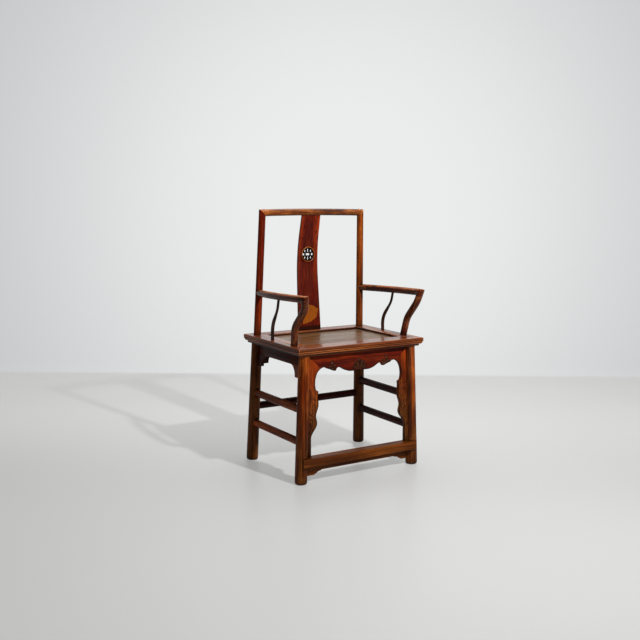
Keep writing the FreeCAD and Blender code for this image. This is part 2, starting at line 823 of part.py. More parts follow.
def foot_strip():
    """The strip under the foot rest, with a stepped bracket at each end."""
    place = board_place(front_left_line, front_line, foot_rest_underside)
    top = foot_rest_underside + overrun
    level = foot_rest_underside - foot_strip_height
    step = level - foot_bracket_step
    base = level - foot_bracket_drop
    reach = edge_reach(front_left_line, front_line, top)
    low_reach = edge_reach(front_left_line, front_line, base)
    outer_step = reach - apron_housing - foot_bracket_reach
    inner_step = outer_step + foot_bracket_shelf
    nose = reach - apron_housing - foot_bracket_nose
    toe = nose + foot_bracket_drop / 2
    slope = Vector((inner_step + nose) / 2, 0, step - foot_bracket_step)
    curve = spline([Vector(inner_step, 0, step), slope, Vector(nose, 0, base + foot_bracket_step),
                    Vector(toe, 0, base)])
    half = chain([Vector(0, 0, level), Vector(outer_step, 0, level), Vector(outer_step, 0, step),
                  Vector(inner_step, 0, step)])
    half.append(curve.toShape())
    half += chain([Vector(toe, 0, base), Vector(low_reach, 0, base),
                   Vector(reach, 0, top), Vector(0, 0, top)])
    edges = half + [mirrored(edge) for edge in half]
    return board(edges, foot_strip_thickness, place).common(below(foot_rest_underside))


def bar_tenons(left, right, height, radius):
    """One flat bar through both tenon places of a rail between two legs, ends left inside the legs."""
    start, end = left.at(height), right.at(height)
    across = unit(end - start)
    length = (end - start).Length - 2 * (radius - tenon_length)
    bar = Part.makeBox(length, stretcher_tenon_width, stretcher_tenon_height,
                       Vector(-length / 2, -stretcher_tenon_width / 2, -stretcher_tenon_height / 2))
    middle = (start + end) * 0.5
    bar.Placement = FreeCAD.Placement(middle, FreeCAD.Rotation(Vector(1, 0, 0), across))
    return bar


def oval_section(centre, across, upward):
    """An oval of four arcs: flatter at its sides, rounder at its top and foot."""
    wide_half = stretcher_width / 2
    high_half = stretcher_height / 2
    small = wide_half * stretcher_round_share
    offset = high_half - small
    large = ((wide_half - small) ** 2 + offset ** 2) / (2 * (wide_half - small)) + small
    lean = math.atan2(offset, large - wide_half)
    knee_across = small * math.cos(lean)
    knee_up = offset + small * math.sin(lean)

    def at(x, z):
        return centre + across * x + upward * z

    def arc(a, b, c):
        return Part.Arc(at(*a), at(*b), at(*c)).toShape()

    return [arc((knee_across, knee_up), (0, high_half), (-knee_across, knee_up)),
            arc((-knee_across, knee_up), (-wide_half, 0), (-knee_across, -knee_up)),
            arc((-knee_across, -knee_up), (0, -high_half), (knee_across, -knee_up)),
            arc((knee_across, -knee_up), (wide_half, 0), (knee_across, knee_up))]


def stretcher(left, right, height, legs):
    """An oval stretcher, scribed to both legs and tenoned into them."""
    start, end = left.at(height), right.at(height)
    along = unit(end - start)
    across = unit(Vector(0, 0, 1).cross(along))
    oval = oval_section(start, across, Vector(0, 0, 1))
    bar = Part.Face(Part.Wire(oval)).extrude(end - start)
    for leg in legs:
        bar = bar.cut(leg)
    bar = max(bar.Solids, key=lambda solid: solid.Volume)
    return bar.fuse(bar_tenons(left, right, height, leg_radius)).removeSplitter()


def build():
    """All pieces by name, each cut to fit its neighbours."""
    pieces = {}
    right_back, right_front = back_leg(), front_leg()
    left_back, left_front = mirrored(right_back), mirrored(right_front)
    legs = {"back_right_post": right_back, "back_left_post": left_back,
            "front_right_leg": right_front, "front_left_leg": left_front}
    pieces["back_splat"] = splat()
    pieces["top_rail"] = top_rail(pieces["back_splat"])

    slim = mid_post()
    rail = arm_rail(right_back).cut(goose_tenon()).cut(slim)
    for name, piece in (("front_arm_post", goose_post()), ("mid_arm_post", slim), ("arm_rail", rail)):
        pieces["right_" + name] = piece
        pieces["left_" + name] = mirrored(piece)

    battens = [seat_batten(side * batten_spacing / 2) for side in (-1, 1)]
    pieces["left_seat_batten"], pieces["right_seat_batten"] = battens
    pieces["seat_panel"] = seat_panel(battens)
    entering = list(legs.values()) + battens + [pieces["back_splat"]]
    entering += [pieces[side + name] for side in ("left_", "right_")
                 for name in ("front_arm_post", "mid_arm_post")]
    in_frame = block(Vector(-wide, -wide, frame_underside), Vector(wide, wide, seat_height))
    pieces.update(seat_rails([piece.common(in_frame) for piece in entering]))

    pieces.update(aprons())
    pieces["foot_rest"] = foot_rest([left_front, right_front])
    pieces["foot_rest_apron"] = foot_strip()
    side_legs = [right_front, right_back]
    tenons = [bar_tenons(front_left_line, front_line, foot_rest_middle, foot_radius),
              bar_tenons(back_left_line, back_line, rear_stretcher_height, leg_radius)]
    for level, height in (("upper", upper_stretcher_height), ("lower", lower_stretcher_height)):
        piece = stretcher(front_line, back_line, height, side_legs)
        pieces["right_" + level + "_stretcher"] = piece
        pieces["left_" + level + "_stretcher"] = mirrored(piece)
        tenon = bar_tenons(front_line, back_line, height, leg_radius)
        tenons += [tenon, mirrored(tenon)]
    pieces["rear_stretcher"] = stretcher(back_left_line, back_line, rear_stretcher_height,
                                         [left_back, right_back])

    tenons += [arm_tenon(), mirrored(arm_tenon())]
    housed = tenons + [piece for name, piece in pieces.items() if "apron" in name]
    for name, leg in legs.items():
        for other in housed:
            if leg.BoundBox.intersect(other.BoundBox):
                leg = leg.cut(other)
        pieces[name] = leg
    return pieces


def aprons():
    """All aprons and their bracket heads by name."""
    pieces = {}
    apron, left_side, right_side = kunmen_frame()
    pieces["front_apron"] = apron
    pieces["front_left_side_apron"] = left_side
    pieces["front_right_side_apron"] = right_side
    apron, left_head, right_head = plain_apron(back_left_line, back_line)
    pieces["rear_apron"] = apron
    pieces["rear_apron_left_bracket"] = left_head
    pieces["rear_apron_right_bracket"] = right_head
    apron, front_head, back_head = plain_apron(front_line, back_line)
    for name, piece in (("apron", apron), ("apron_front_bracket", front_head),
                        ("apron_back_bracket", back_head)):
        pieces["right_" + name] = piece
        pieces["left_" + name] = mirrored(piece)
    return pieces


def centred(pieces):
    """All pieces moved together, so that their common box is centred on the origin from front to back."""
    boxes = [piece.optimalBoundingBox(False, False) for piece in pieces.values()]
    middle = (min(box.YMin for box in boxes) + max(box.YMax for box in boxes)) / 2
    for piece in pieces.values():
        piece.translate(Vector(0, -middle, 0))
    return pieces


def main():
    os.makedirs("parts", exist_ok=True)
    for name, shape in centred(build()).items():
        print(f"{name:28s} solids {len(shape.Solids)} valid {shape.isValid()} volume {shape.Volume:12.1f}")
        shape.exportStep(os.path.join("parts", name + ".step"))


main()
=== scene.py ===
import math

import bmesh
import bpy
from bpy.props import FloatProperty, FloatVectorProperty, PointerProperty
from mathutils import Matrix, Vector
from mathutils.bvhtree import BVHTree


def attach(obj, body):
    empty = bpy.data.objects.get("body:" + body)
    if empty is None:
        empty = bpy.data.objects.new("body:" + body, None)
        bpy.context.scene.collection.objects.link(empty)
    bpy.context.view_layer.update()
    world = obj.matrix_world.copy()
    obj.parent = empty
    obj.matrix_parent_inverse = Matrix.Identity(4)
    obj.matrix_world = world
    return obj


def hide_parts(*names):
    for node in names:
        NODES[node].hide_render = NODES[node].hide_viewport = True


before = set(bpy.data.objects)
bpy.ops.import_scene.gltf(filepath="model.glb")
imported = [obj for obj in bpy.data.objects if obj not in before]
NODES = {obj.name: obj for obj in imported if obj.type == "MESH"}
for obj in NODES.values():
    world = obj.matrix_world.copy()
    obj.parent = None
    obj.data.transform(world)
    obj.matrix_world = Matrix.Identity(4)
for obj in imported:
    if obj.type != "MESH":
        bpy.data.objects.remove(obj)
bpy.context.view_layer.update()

bl_info = {
    "name": "Official's hat armchair",
    "version": (1, 0, 0),
    "blender": (4, 5, 0),
    "location": "View3D > Sidebar > Armchair",
    "description": "Dresses the armchair's timbers and sets its studio",
    "category": "Object",
}

SIDES = ("left", "right")
X, Y, Z = 0, 1, 2


def srgb(code):
    """Linear colour from a six-figure screen colour."""
    parts = [int(code[i:i + 2], 16) / 255 for i in (0, 2, 4)]
    return tuple(c / 12.92 if c <= 0.04045 else ((c + 0.055) / 1.055) ** 2.4 for c in parts)


def tint(name, code, description):
    return FloatVectorProperty(name=name, description=description, subtype="COLOR", size=3,
                               min=0.0, max=1.0, default=srgb(code))


def length(name, value, description):
    return FloatProperty(name=name, description=description, default=value, unit="LENGTH",
                         subtype="DISTANCE", precision=4)


class TimberColours(bpy.types.PropertyGroup):
    """Lacquer and worn wood of each group of timbers."""

    legs: tint("Legs", "762903", "Lacquered wood of the front legs")
    legs_worn: tint("Legs, worn", "ba6020", "Rubbed wood of the front legs")
    left_post: tint("Back left post", "701b04", "Lacquered wood of the back left leg and post")
    left_post_worn: tint("Back left post, worn", "b44616", "Rubbed wood of the back left leg and post")
    right_post: tint("Back right post", "8a3d0e", "Lacquered wood of the back right leg and post")
    right_post_worn: tint("Back right post, worn", "cc7026", "Rubbed wood of the back right leg and post")
    top_rail: tint("Top rail", "6b2f0a", "Lacquered wood of the top rail")
    top_rail_worn: tint("Top rail, worn", "c2722b", "Rubbed wood of the top rail")
    splat: tint("Splat", "510c02", "Red lacquer of the splat")
    splat_worn: tint("Splat, worn", "882c08", "Rubbed lacquer of the splat")
    patch: tint("Patch", "8e480c", "Newer wood let into the splat")
    arms: tint("Arms", "4f1605", "Lacquered wood of the arms and their posts")
    arms_worn: tint("Arms, worn", "b46c3c", "Rubbed wood of the arms and their posts")
    mid_post: tint("Mid posts", "270f06", "Lacquered wood of the slim posts under the arms")
    mid_post_worn: tint("Mid posts, worn", "522916", "Rubbed wood of the slim posts under the arms")
    seat: tint("Seat frame", "7a340c", "Lacquered wood of the seat frame")
    seat_worn: tint("Seat frame, worn", "c87230", "Rubbed wood of the seat frame")
    panel: tint("Seat panel", "5e3e22", "Faded wood of the seat panel")
    panel_worn: tint("Seat panel, worn", "8e6844", "Rubbed wood of the seat panel")
    apron: tint("Front apron", "601202", "Red lacquer of the front apron")
    apron_worn: tint("Front apron, worn", "943408", "Rubbed wood of the front apron")
    side_apron: tint("Side aprons", "360d03", "Dark wood of the plain aprons")
    side_apron_worn: tint("Side aprons, worn", "651f08", "Rubbed wood of the plain aprons")
    bracket: tint("Brackets", "8c3e15", "Paler wood of the bracket heads")
    bracket_worn: tint("Brackets, worn", "c96728", "Rubbed wood of the bracket heads")
    stretcher: tint("Stretchers", "77320c", "Lacquered wood of the stretchers")
    stretcher_worn: tint("Stretchers, worn", "d7651d", "Rubbed wood of the stretchers")
    # Painted shade: a darker copy of the stretchers' wood, for the rear and right stretchers, which lie in
    # shade
    far_stretcher: tint("Far stretchers", "320802", "Darker wood of the rear and right stretchers")
    far_stretcher_worn: tint("Far stretchers, worn", "632008", "Rubbed wood of the far stretchers")
    foot_rest: tint("Foot rest", "622e09", "Lacquered wood of the foot rest")
    foot_rest_worn: tint("Foot rest, worn", "ab5d1a", "Rubbed wood of the foot rest")
    batten: tint("Battens", "7c5a3c", "Bare wood under the seat")
    batten_worn: tint("Battens, worn", "967450", "Bare wood under the seat, rubbed")
    board: tint("Long side aprons", "701d04", "Lacquered wood of the long front side aprons")
    board_worn: tint("Long side aprons, worn", "ae4810", "Rubbed wood of the long front side aprons")
    carved: tint("Carving", "3c1c0c", "Browner wood of the carved leaves")
    carved_worn: tint("Carving, worn", "603218", "Rubbed wood of the carved leaves")
    low: tint("Near the floor", "5c2e0c", "Lacquered wood of the legs near the floor")
    low_worn: tint("Near the floor, worn", "8e5220", "Rubbed wood of the legs near the floor")
    # Painted shade: a darker copy of the seat frame's wood, for its sides round the panel, the band under
    # its beads and the joint beside the right front leg
    seat_shade: tint("Seat frame, shaded", "421a0a", "Darker wood in the seat frame's hollows")
    seat_shade_worn: tint("Seat frame, shaded and worn", "84441c", "Rubbed wood in the hollows")
    # Old dirt in joints and round the carving, and also the colour of the painted shade in corners,
    # crevices, the seat edge's hollows and under the arm rails
    gap: tint("Joints and openings", "120703", "Old dirt in joints and behind carving")
    # Painted light: the backdrop fades from its first colour to the second away from a painted pool of
    # light, and the floor from its first colour to the second towards the front
    wall: tint("Backdrop", "ebedec", "Backdrop behind the chair")
    wall_edge: tint("Backdrop's edges", "c4c6c8", "Backdrop far from the chair")
    floor: tint("Floor", "dadad8", "Pale floor behind the chair")
    floor_edge: tint("Floor in front", "c5c5c3", "Floor in front of the chair")


class CarvingSizes(bpy.types.PropertyGroup):
    """Sizes of the arrises, the beads and the carving."""

    arris: length("Arris", 0.0009, "Rounding of the timbers' sharp edges")
    bead_inset: length("Bead inset", 0.0042, "From the cusped edge to the bead's middle")
    bead_radius: length("Bead radius", 0.0011, "Radius of the bead along the cusped edge")
    relief: length("Relief", 0.0026, "Height of the carved leaves over the board")
    vein: length("Vein", 0.0010, "Radius of the carved stems and veins")
    cut: length("Cut line", 0.0016, "Width of the dark cut line round the carving")
    ring: length("Medallion ribs", 0.0009, "Measure that the ribs' radii are multiples of")


class StudioSizes(bpy.types.PropertyGroup):
    """Where the camera, the backdrop and the lamps are."""

    camera: FloatVectorProperty(name="Camera", description="The camera's place", size=3, unit="LENGTH",
                                subtype="TRANSLATION", default=(-1.936874, -2.949137, 1.068212))
    lens: FloatProperty(name="Lens", description="Focal length on a 36 mm wide sensor", default=50.84,
                        min=10.0)
    backdrop: length("Backdrop distance", 2.12, "From the chair's middle to the backdrop")
    lamp: FloatVectorProperty(name="Lamp", description="Place of the small lamp in front", size=3,
                              unit="LENGTH", subtype="TRANSLATION", default=(0.143, -1.79, 2.1))
    lamp_power: FloatProperty(name="Lamp power", description="Power of the small lamp", default=75.0,
                              min=0.0, unit="POWER")
    window_power: FloatProperty(name="Soft light power", description="Power of the large soft light",
                                default=30.0, min=0.0, unit="POWER")
    sky: FloatProperty(name="Room light", description="Brightness of the light from all sides",
                       default=0.20, min=0.0)


# Shader nodes

def node(tree, kind, inputs=None, **settings):
    """A shader node with its settings, its values and its links."""
    made = tree.nodes.new(kind)
    for key, value in settings.items():
        setattr(made, key, value)
    for key, value in (inputs or {}).items():
        socket = made.inputs[key]
        if isinstance(value, bpy.types.NodeSocket):
            tree.links.new(value, socket)
        else:
            socket.default_value = value
    return made


def noise(tree, place, scale, detail, rough=0.5, swirl=0.0):
    """Soft noise at a place."""
    made = node(tree, "ShaderNodeTexNoise", {"Vector": place, "Scale": scale, "Detail": detail,
                                             "Roughness": rough, "Distortion": swirl})
    return made.outputs[0]


def fit(tree, value, low, high, to_low=0.0, to_high=1.0):
    """Stretches a range of a value to another range, softly and without overshoot."""
    made = node(tree, "ShaderNodeMapRange", {"Value": value, "From Min": low, "From Max": high,
                                             "To Min": to_low, "To Max": to_high},
                interpolation_type="SMOOTHSTEP")
    return made.outputs[0]


def calc(tree, first, second, operation="MULTIPLY"):
    """Two values multiplied, or put together in another way."""
    return node(tree, "ShaderNodeMath", {0: first, 1: second}, operation=operation).outputs[0]


def blend(tree, share, first, second, kind="MIX"):
    """Two colours mixed by a share."""
    made = node(tree, "ShaderNodeMix", {0: share, 6: first, 7: second}, data_type="RGBA", blend_type=kind)
    return made.outputs[2]


def opaque(colour):
    return (*colour[:3], 1.0)


def object_place(tree):
    return node(tree, "ShaderNodeTexCoord").outputs["Object"]


def occlusion(tree, reach, samples, **settings):
    """How open the surroundings are within a reach, 1 where nothing is near."""
    made = node(tree, "ShaderNodeAmbientOcclusion", {"Distance": reach}, samples=samples, **settings)
    return made.outputs["AO"]


def scaled(colour, share):
    return opaque([c * share for c in colour[:3]])


def bare_material(name):
    material = bpy.data.materials.new(name)
    material.use_nodes = True
    shader = material.node_tree.nodes["Principled BSDF"]
    return material, material.node_tree, shader


# Noises of the wood: scale, detail, roughness and swirl
STREAKS = (3.0, 5.0, 0.62, 0.3)
BANDS = (9.0, 4.0, 0.62, 0.2)
FINE = (26.0, 3.0, 0.6)
FIGURE = (0.9, 2.0, 0.5, 0.5)
BLOTS = (6.0, 4.0, 0.6)
PORES = (60.0, 2.0, 0.7)
DENTS = (120.0, 2.0)
# How much finer the grain and the blots are across the wood than along it
GRAIN_SQUEEZE, BLOT_SQUEEZE = 28.0, 4.0
# Growth lines across the figure's full range
GROWTH_LINES = 11.0
# How far in an arris is worn, and how far grime and painted shade reach out of corners and crevices
# (metres)
ARRIS_REACH, CORNER_REACH, CREVICE_REACH = 0.0030, 0.025, 0.004
# The relief of grain, pores and dents (metres), and how strongly it shows
GRAIN_RELIEF, GRAIN_STRENGTH = 0.0006, 0.30
COAT_ROUGHNESS = 0.18


def stretched(tree, place, along, squeeze, stretch):
    """A place squeezed across one axis, so that noise is drawn out along it."""
    size = [squeeze] * 3
    size[along] = stretch
    return node(tree, "ShaderNodeMapping", {"Vector": place, "Scale": size}).outputs[0]


def timber(name, lacquer, worn, along, gloss=0.36, wear=0.5, depth=0.30, mirror=0.22, coat=0.10, rub=None,
           arris=0.85, low=None, stretch=1.0, lean=0.0):
    """Old lacquered wood whose grain runs along one axis.

    Long streaks and growth lines, rubbed patches, open pores, worn arrises, and grime and painted shade in
    corners.
    A rub function may add wear where hands or clothes have polished the wood, and painted light where it
    makes tops paler, arris is how worn the edges are, and low gives the heights between which the wood
    turns browner. A stretch below 1 draws the streaks out longer, and a lean (radians) turns them with a
    post that leans.
    """
    if name in bpy.data.materials:
        return bpy.data.materials[name]
    material, tree, shader = bare_material(name)
    place = object_place(tree)
    if lean:
        place = node(tree, "ShaderNodeMapping", {"Vector": place, "Rotation": (-lean, 0.0, 0.0)}).outputs[0]
    grain = stretched(tree, place, along, GRAIN_SQUEEZE, stretch)
    streaks = noise(tree, grain, *STREAKS)
    bands = noise(tree, grain, *BANDS)
    fine = noise(tree, grain, *FINE)
    figure = noise(tree, grain, *FIGURE)
    rings = calc(tree, calc(tree, figure, GROWTH_LINES), 0.5, "PINGPONG")
    blots = noise(tree, stretched(tree, place, along, BLOT_SQUEEZE, stretch), *BLOTS)
    pores = noise(tree, grain, *PORES)
    dents = noise(tree, place, *DENTS)
    edge = occlusion(tree, ARRIS_REACH, 6, inside=True, only_local=True)
    corner = occlusion(tree, CORNER_REACH, 8)
    crevice = occlusion(tree, CREVICE_REACH, 6)

    # Lacquer, and the deeper tone of its streaks, bands and growth lines
    fresh, rubbed_wood = opaque(lacquer), opaque(worn)
    if low:
        level = node(tree, "ShaderNodeSeparateXYZ", {0: place}).outputs[2]
        near = calc(tree, fit(tree, level, *low), fit(tree, blots, 0.25, 0.55, 0.65, 1.0))
        fresh = blend(tree, near, fresh, opaque(colours().low))
        rubbed_wood = blend(tree, near, rubbed_wood, opaque(colours().low_worn))
        deep = blend(tree, 1.0, fresh, opaque([depth] * 3), "MULTIPLY")
    else:
        deep = scaled(lacquer, depth)
    colour = blend(tree, fit(tree, streaks, 0.34, 0.62), deep, fresh)
    colour = blend(tree, calc(tree, fit(tree, bands, 0.56, 0.36), 0.55), colour, deep)
    colour = blend(tree, calc(tree, fit(tree, rings, 0.08, 0.36, 1.0, 0.0), 0.5), colour, deep)

    # Wood rubbed bare in patches, where hands reach and along the arrises
    rubbed = calc(tree, fit(tree, blots, 0.40, 0.68), fit(tree, bands, 0.34, 0.62))
    rubbed = calc(tree, rubbed, wear)
    if rub:
        rubbed = calc(tree, rubbed, calc(tree, rub(tree, place), fit(tree, bands, 0.34, 0.56)), "MAXIMUM")
    bare = calc(tree, fit(tree, edge, 0.93, 0.62), fit(tree, blots, 0.34, 0.60, arris * 0.24, arris))
    colour = blend(tree, calc(tree, rubbed, bare, "MAXIMUM"), colour, rubbed_wood)

    # Dark pores, and grime and painted shade in corners and crevices
    colour = blend(tree, fit(tree, fine, 0.60, 0.70, 0.0, 0.5), colour, scaled(lacquer, 0.16))
    colour = blend(tree, fit(tree, pores, 0.62, 0.72, 0.0, 0.5), colour, scaled(lacquer, 0.12))
    # Grime and painted shade: where ambient occlusion finds corners and crevices, the wood darkens towards
    # the gap colour
    grime_and_shade = calc(tree, fit(tree, corner, 0.20, 0.92, 0.25, 1.0), fit(tree, crevice, 0.42, 0.93, 0.12, 1.0))
    colour = blend(tree, grime_and_shade, opaque(colours().gap), colour)

    height = calc(tree, fine, calc(tree, rings, 0.5), "ADD")
    height = calc(tree, height, fit(tree, pores, 0.62, 0.72, 0.0, -0.9), "ADD")
    height = calc(tree, height, fit(tree, dents, 0.62, 0.74, 0.0, -0.3), "ADD")
    bump = node(tree, "ShaderNodeBump", {"Strength": GRAIN_STRENGTH, "Distance": GRAIN_RELIEF,
                                         "Height": height})
    tree.links.new(colour, shader.inputs["Base Color"])
    shine = fit(tree, streaks, 0.3, 0.7, gloss + 0.14, gloss - 0.06)
    tree.links.new(shine, shader.inputs["Roughness"])
    tree.links.new(bump.outputs[0], shader.inputs["Normal"])
    shader.inputs["Specular IOR Level"].default_value = mirror
    shader.inputs["Coat Weight"].default_value = coat
    shader.inputs["Coat Roughness"].default_value = COAT_ROUGHNESS
    return material


# The splat's least polished line lies this far left of its middle (metres)
DULL_LINE = 0.006


def rubbed_edges(tree, place):
    """The splat is polished redder and lighter towards its edges, most of all near its head."""
    parts = node(tree, "ShaderNodeSeparateXYZ", {0: place}).outputs
    aside = calc(tree, calc(tree, parts[0], DULL_LINE, "ADD"), 0.0, "ABSOLUTE")
    return calc(tree, fit(tree, aside, 0.012, 0.046), fit(tree, parts[2], 0.62, 0.92, 0.20, 0.95))


def rubbed_and_lit_tops(tree, place):
    """The tops of the arms made paler: wear where hands rub them, and painted light from above."""
    normal = node(tree, "ShaderNodeNewGeometry").outputs["Normal"]
    upright = node(tree, "ShaderNodeSeparateXYZ", {0: normal}).outputs[2]
    return fit(tree, upright, 0.30, 0.95, 0.0, 0.9)


# Meshes

# Points nearer than the first are one point, and points nearer than the second to a cut lie on it (metres)
SAME_POINT, ON_CUT = 0.000004, 0.00002
# Faces that meet at less than the first angle are one flat face, at less than the second they are
# shaded as one, and edges sharper than the third are rounded (degrees)
FLAT_BELOW, SMOOTH_BELOW, ROUND_ABOVE = 0.5, 38.0, 50.0
# A face looks along an axis, or lies square to it, when its normal's part along that axis is over this
FACING, SQUARE = 0.9, 0.9999


def merged(name):
    """A copy of a CAD node with its points joined and its flat faces made whole."""
    bm = bmesh.new()
    bm.from_mesh(NODES[name].data)
    bmesh.ops.remove_doubles(bm, verts=bm.verts[:], dist=SAME_POINT)
    bmesh.ops.dissolve_limit(bm, angle_limit=math.radians(FLAT_BELOW), verts=bm.verts[:], edges=bm.edges[:])
    return bm


def soften(bm, width, keep=lambda edge: True):
    """Rounds the sharp edges of a piece."""
    sharp = [edge for edge in bm.edges if edge.is_manifold and edge.calc_length() > 2 * width
             and edge.calc_face_angle(0.0) > math.radians(ROUND_ABOVE) and keep(edge)]
    bmesh.ops.bevel(bm, geom=sharp, offset=width, offset_type="OFFSET", affect="EDGES", segments=2,
                    profile=0.5, clamp_overlap=False, material=-1)


def cut_plane(bm, point, normal):
    """Cuts a line round a piece, where a plane crosses it."""
    bmesh.ops.bisect_plane(bm, geom=bm.verts[:] + bm.edges[:] + bm.faces[:], plane_co=point,
                           plane_no=normal, dist=ON_CUT)


def cut_level(bm, level):
    cut_plane(bm, (0, 0, level), (0, 0, 1))


def piece(bm, name, materials, stands_for=()):
    """Turns a bmesh into a finished piece that rides with the chair."""
    mesh = bpy.data.meshes.new(name)
    bm.to_mesh(mesh)
    bm.free()
    mesh.shade_smooth()
    mesh.set_sharp_from_angle(angle=math.radians(SMOOTH_BELOW))
    for material in materials:
        mesh.materials.append(material)
    made = bpy.data.objects.new(name, mesh)
    bpy.context.scene.collection.objects.link(made)
    if stands_for:
        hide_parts(*stands_for)
    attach(made, "root")


def finished(bm, name, *materials):
    """Lets a dressed bmesh stand for its CAD node."""
    piece(bm, name + "_finished", materials, [name])


def dress(name, material, width=0.0):
    """A CAD node's finished copy: points joined, arrises rounded, wood put on."""
    bm = merged(name)
    if width:
        soften(bm, width)
    finished(bm, name, material)


def tube(bm, points, radii, matrix, closed=False):
    """A round line through points, added to a bmesh."""
    curve = bpy.data.curves.new("line", "CURVE")
    curve.dimensions = "3D"
    curve.bevel_depth = 1.0
    curve.bevel_resolution = 2
    curve.resolution_u = 4
    curve.use_fill_caps = not closed
    spline = curve.splines.new("NURBS" if not closed else "POLY")
    spline.points.add(len(points) - 1)
    for point, place, radius in zip(spline.points, points, radii):
        point.co = (*place, 1.0)
        point.radius = radius
    if closed:
        spline.use_cyclic_u = True
    else:
        spline.order_u = 3
        spline.use_endpoint_u = True
    holder = bpy.data.objects.new("line", curve)
    mesh = bpy.data.meshes.new_from_object(holder)
    mesh.transform(matrix)
    bm.from_mesh(mesh)
    bpy.data.objects.remove(holder)
    bpy.data.curves.remove(curve)
    bpy.data.meshes.remove(mesh)


def lobe(bm, x, z, half_width, half_height, turn, proud, matrix):
    """A rounded leaf lobe, a flattened ball half sunk in the board."""
    size = Matrix.Diagonal((half_width, proud, half_height, 1.0))
    place = Matrix.Translation((x, 0.0, z)) @ Matrix.Rotation(math.radians(turn), 4, "Y")
    bmesh.ops.create_uvsphere(bm, u_segments=16, v_segments=8, radius=1.0, matrix=matrix @ place @ size)


def front_face(bm):
    """A board's largest face that looks forwards."""
    facing = [face for face in bm.faces if face.normal.y < -FACING]
    return max(facing, key=lambda face: face.calc_area())


def board_matrix(name):
    """Sets what is drawn on the XZ plane onto the front of a board."""
    bm = merged(name)
    face = front_face(bm)
    inward = -face.normal
    point = face.verts[0].co.copy()
    bm.free()
    across = Vector((1.0, 0.0, 0.0))
    upward = across.cross(inward).normalized()
    foot = Vector((0.0, point.y + point.z * inward.z / inward.y, 0.0))
    turn = Matrix((across, inward, upward)).transposed().to_4x4()
    return Matrix.Translation(foot) @ turn


# The cusped edges lie within this distance of the chair's middle, and between these heights
CUSPED_WIDTH, CUSPED_LOW, CUSPED_HIGH = 0.2185, 0.0985, 0.4785
# An edge longer than this that slopes about half way is a mitre
MITRE_LENGTH, MITRE_SLACK = 0.03, 0.2


def cusped(loop):
    """Whether an edge of a board's front is a part of the cusped outline."""
    a, b = loop.vert.co, loop.link_loop_next.vert.co
    middle, run = (a + b) / 2, b - a
    mitre = run.length > MITRE_LENGTH and abs(abs(run.x) - abs(run.z)) < MITRE_SLACK * run.length
    return abs(middle.x) < CUSPED_WIDTH and CUSPED_LOW < middle.z < CUSPED_HIGH and not mitre


def cusped_path(name, inset):
    """Points along a board's cusped front edge, moved into the board by an inset."""
    bm = merged(name)
    face = front_face(bm)
    loops = list(face.loops)
    marks = [cusped(loop) for loop in loops]
    first = next(i for i in range(len(loops)) if marks[i] and not marks[i - 1])
    path = [loops[first].vert.co.copy()]
    i = first
    while marks[i % len(loops)]:
        path.append(loops[i % len(loops)].link_loop_next.vert.co.copy())
        i += 1
    inward = -face.normal
    bm.free()
    moved = []
    for i, point in enumerate(path):
        before = (point - path[i - 1]).normalized() if i else None
        after = (path[i + 1] - point).normalized() if i + 1 < len(path) else None
        along = (before or after) + (after or before)
        along.normalize()
        side = along.cross(inward).normalized()
        moved.append(point + side * inset)
    return moved


# What the operators share

def colours():
    return bpy.context.scene.chair_colours


def carving():
    return bpy.context.scene.chair_carving


def studio():
    return bpy.context.scene.chair_studio


def wood(kind, along, **looks):
    """The timber of a group of pieces, with its grain along an axis."""
    name = f"{kind}_wood_{'xyz'[along]}"
    return timber(name, getattr(colours(), kind), getattr(colours(), kind + "_worn"), along, **looks)


# Timbers that hands and clothes seldom polish
DULL = {"mirror": 0.06, "coat": 0.02}
# Timbers that hands have polished bright
BRIGHT = {"mirror": 0.09, "coat": 0.10, "gloss": 0.30}


def dirt_and_shade_wood():
    """Wood that is dark with old dirt in joints and round the carving, also used as painted shade under the
    arm rails and in the seat edge's hollows.
    """
    return timber("gap_wood", colours().gap, scaled(colours().gap, 3.0), X, wear=0.3, **DULL)


def mirrored(points, side):
    return [(side * x, y, z) for x, y, z in points]


# Operators: one for each group of like pieces

# The inner edge of the right front leg: where it meets the floor, and across it, because it leans
EDGE_FOOT = 0.2356
LEG_EDGE = Vector((1.0, 0.0, 0.0271)).normalized()
# The painted shade beside it, on the leg along its joint with the board: how far in from the edge it runs,
# between which heights, and in front of what
JOINT_REACH = (0.0015, 0.0125)
JOINT_HEIGHTS = (0.110, 0.4795)
JOINT_FRONT = -0.175


def mark_leg_joint_shade(bm):
    """Paints shade on the right front leg along its joint with its board."""
    for reach in JOINT_REACH:
        cut_plane(bm, (EDGE_FOOT + reach, 0.0, 0.0), LEG_EDGE)
    for level in JOINT_HEIGHTS:
        cut_level(bm, level)
    for face in bm.faces:
        point = face.calc_center_median()
        off = (point.x - EDGE_FOOT) * LEG_EDGE.x + point.z * LEG_EDGE.z
        if (JOINT_REACH[0] < off < JOINT_REACH[1] and JOINT_HEIGHTS[0] < point.z < JOINT_HEIGHTS[1]
                and point.y < JOINT_FRONT):
            face.material_index = 1


class CHAIR_OT_legs(bpy.types.Operator):
    """Dress the front legs and the back legs with their posts"""
    bl_idname = "chair.legs"
    bl_label = "Legs and posts"

    def execute(self, context):
        looks = wood("legs", Z, wear=0.6, depth=0.24, low=(0.40, 0.05), **DULL)
        for side in SIDES:
            dress(f"back_{side}_post", wood(f"{side}_post", Z, low=(0.62, 0.40), **DULL))
        dress("front_left_leg", looks)
        bm = merged("front_right_leg")
        mark_leg_joint_shade(bm)
        finished(bm, "front_right_leg", looks, wood("seat_shade", Z, **DULL))
        return {"FINISHED"}


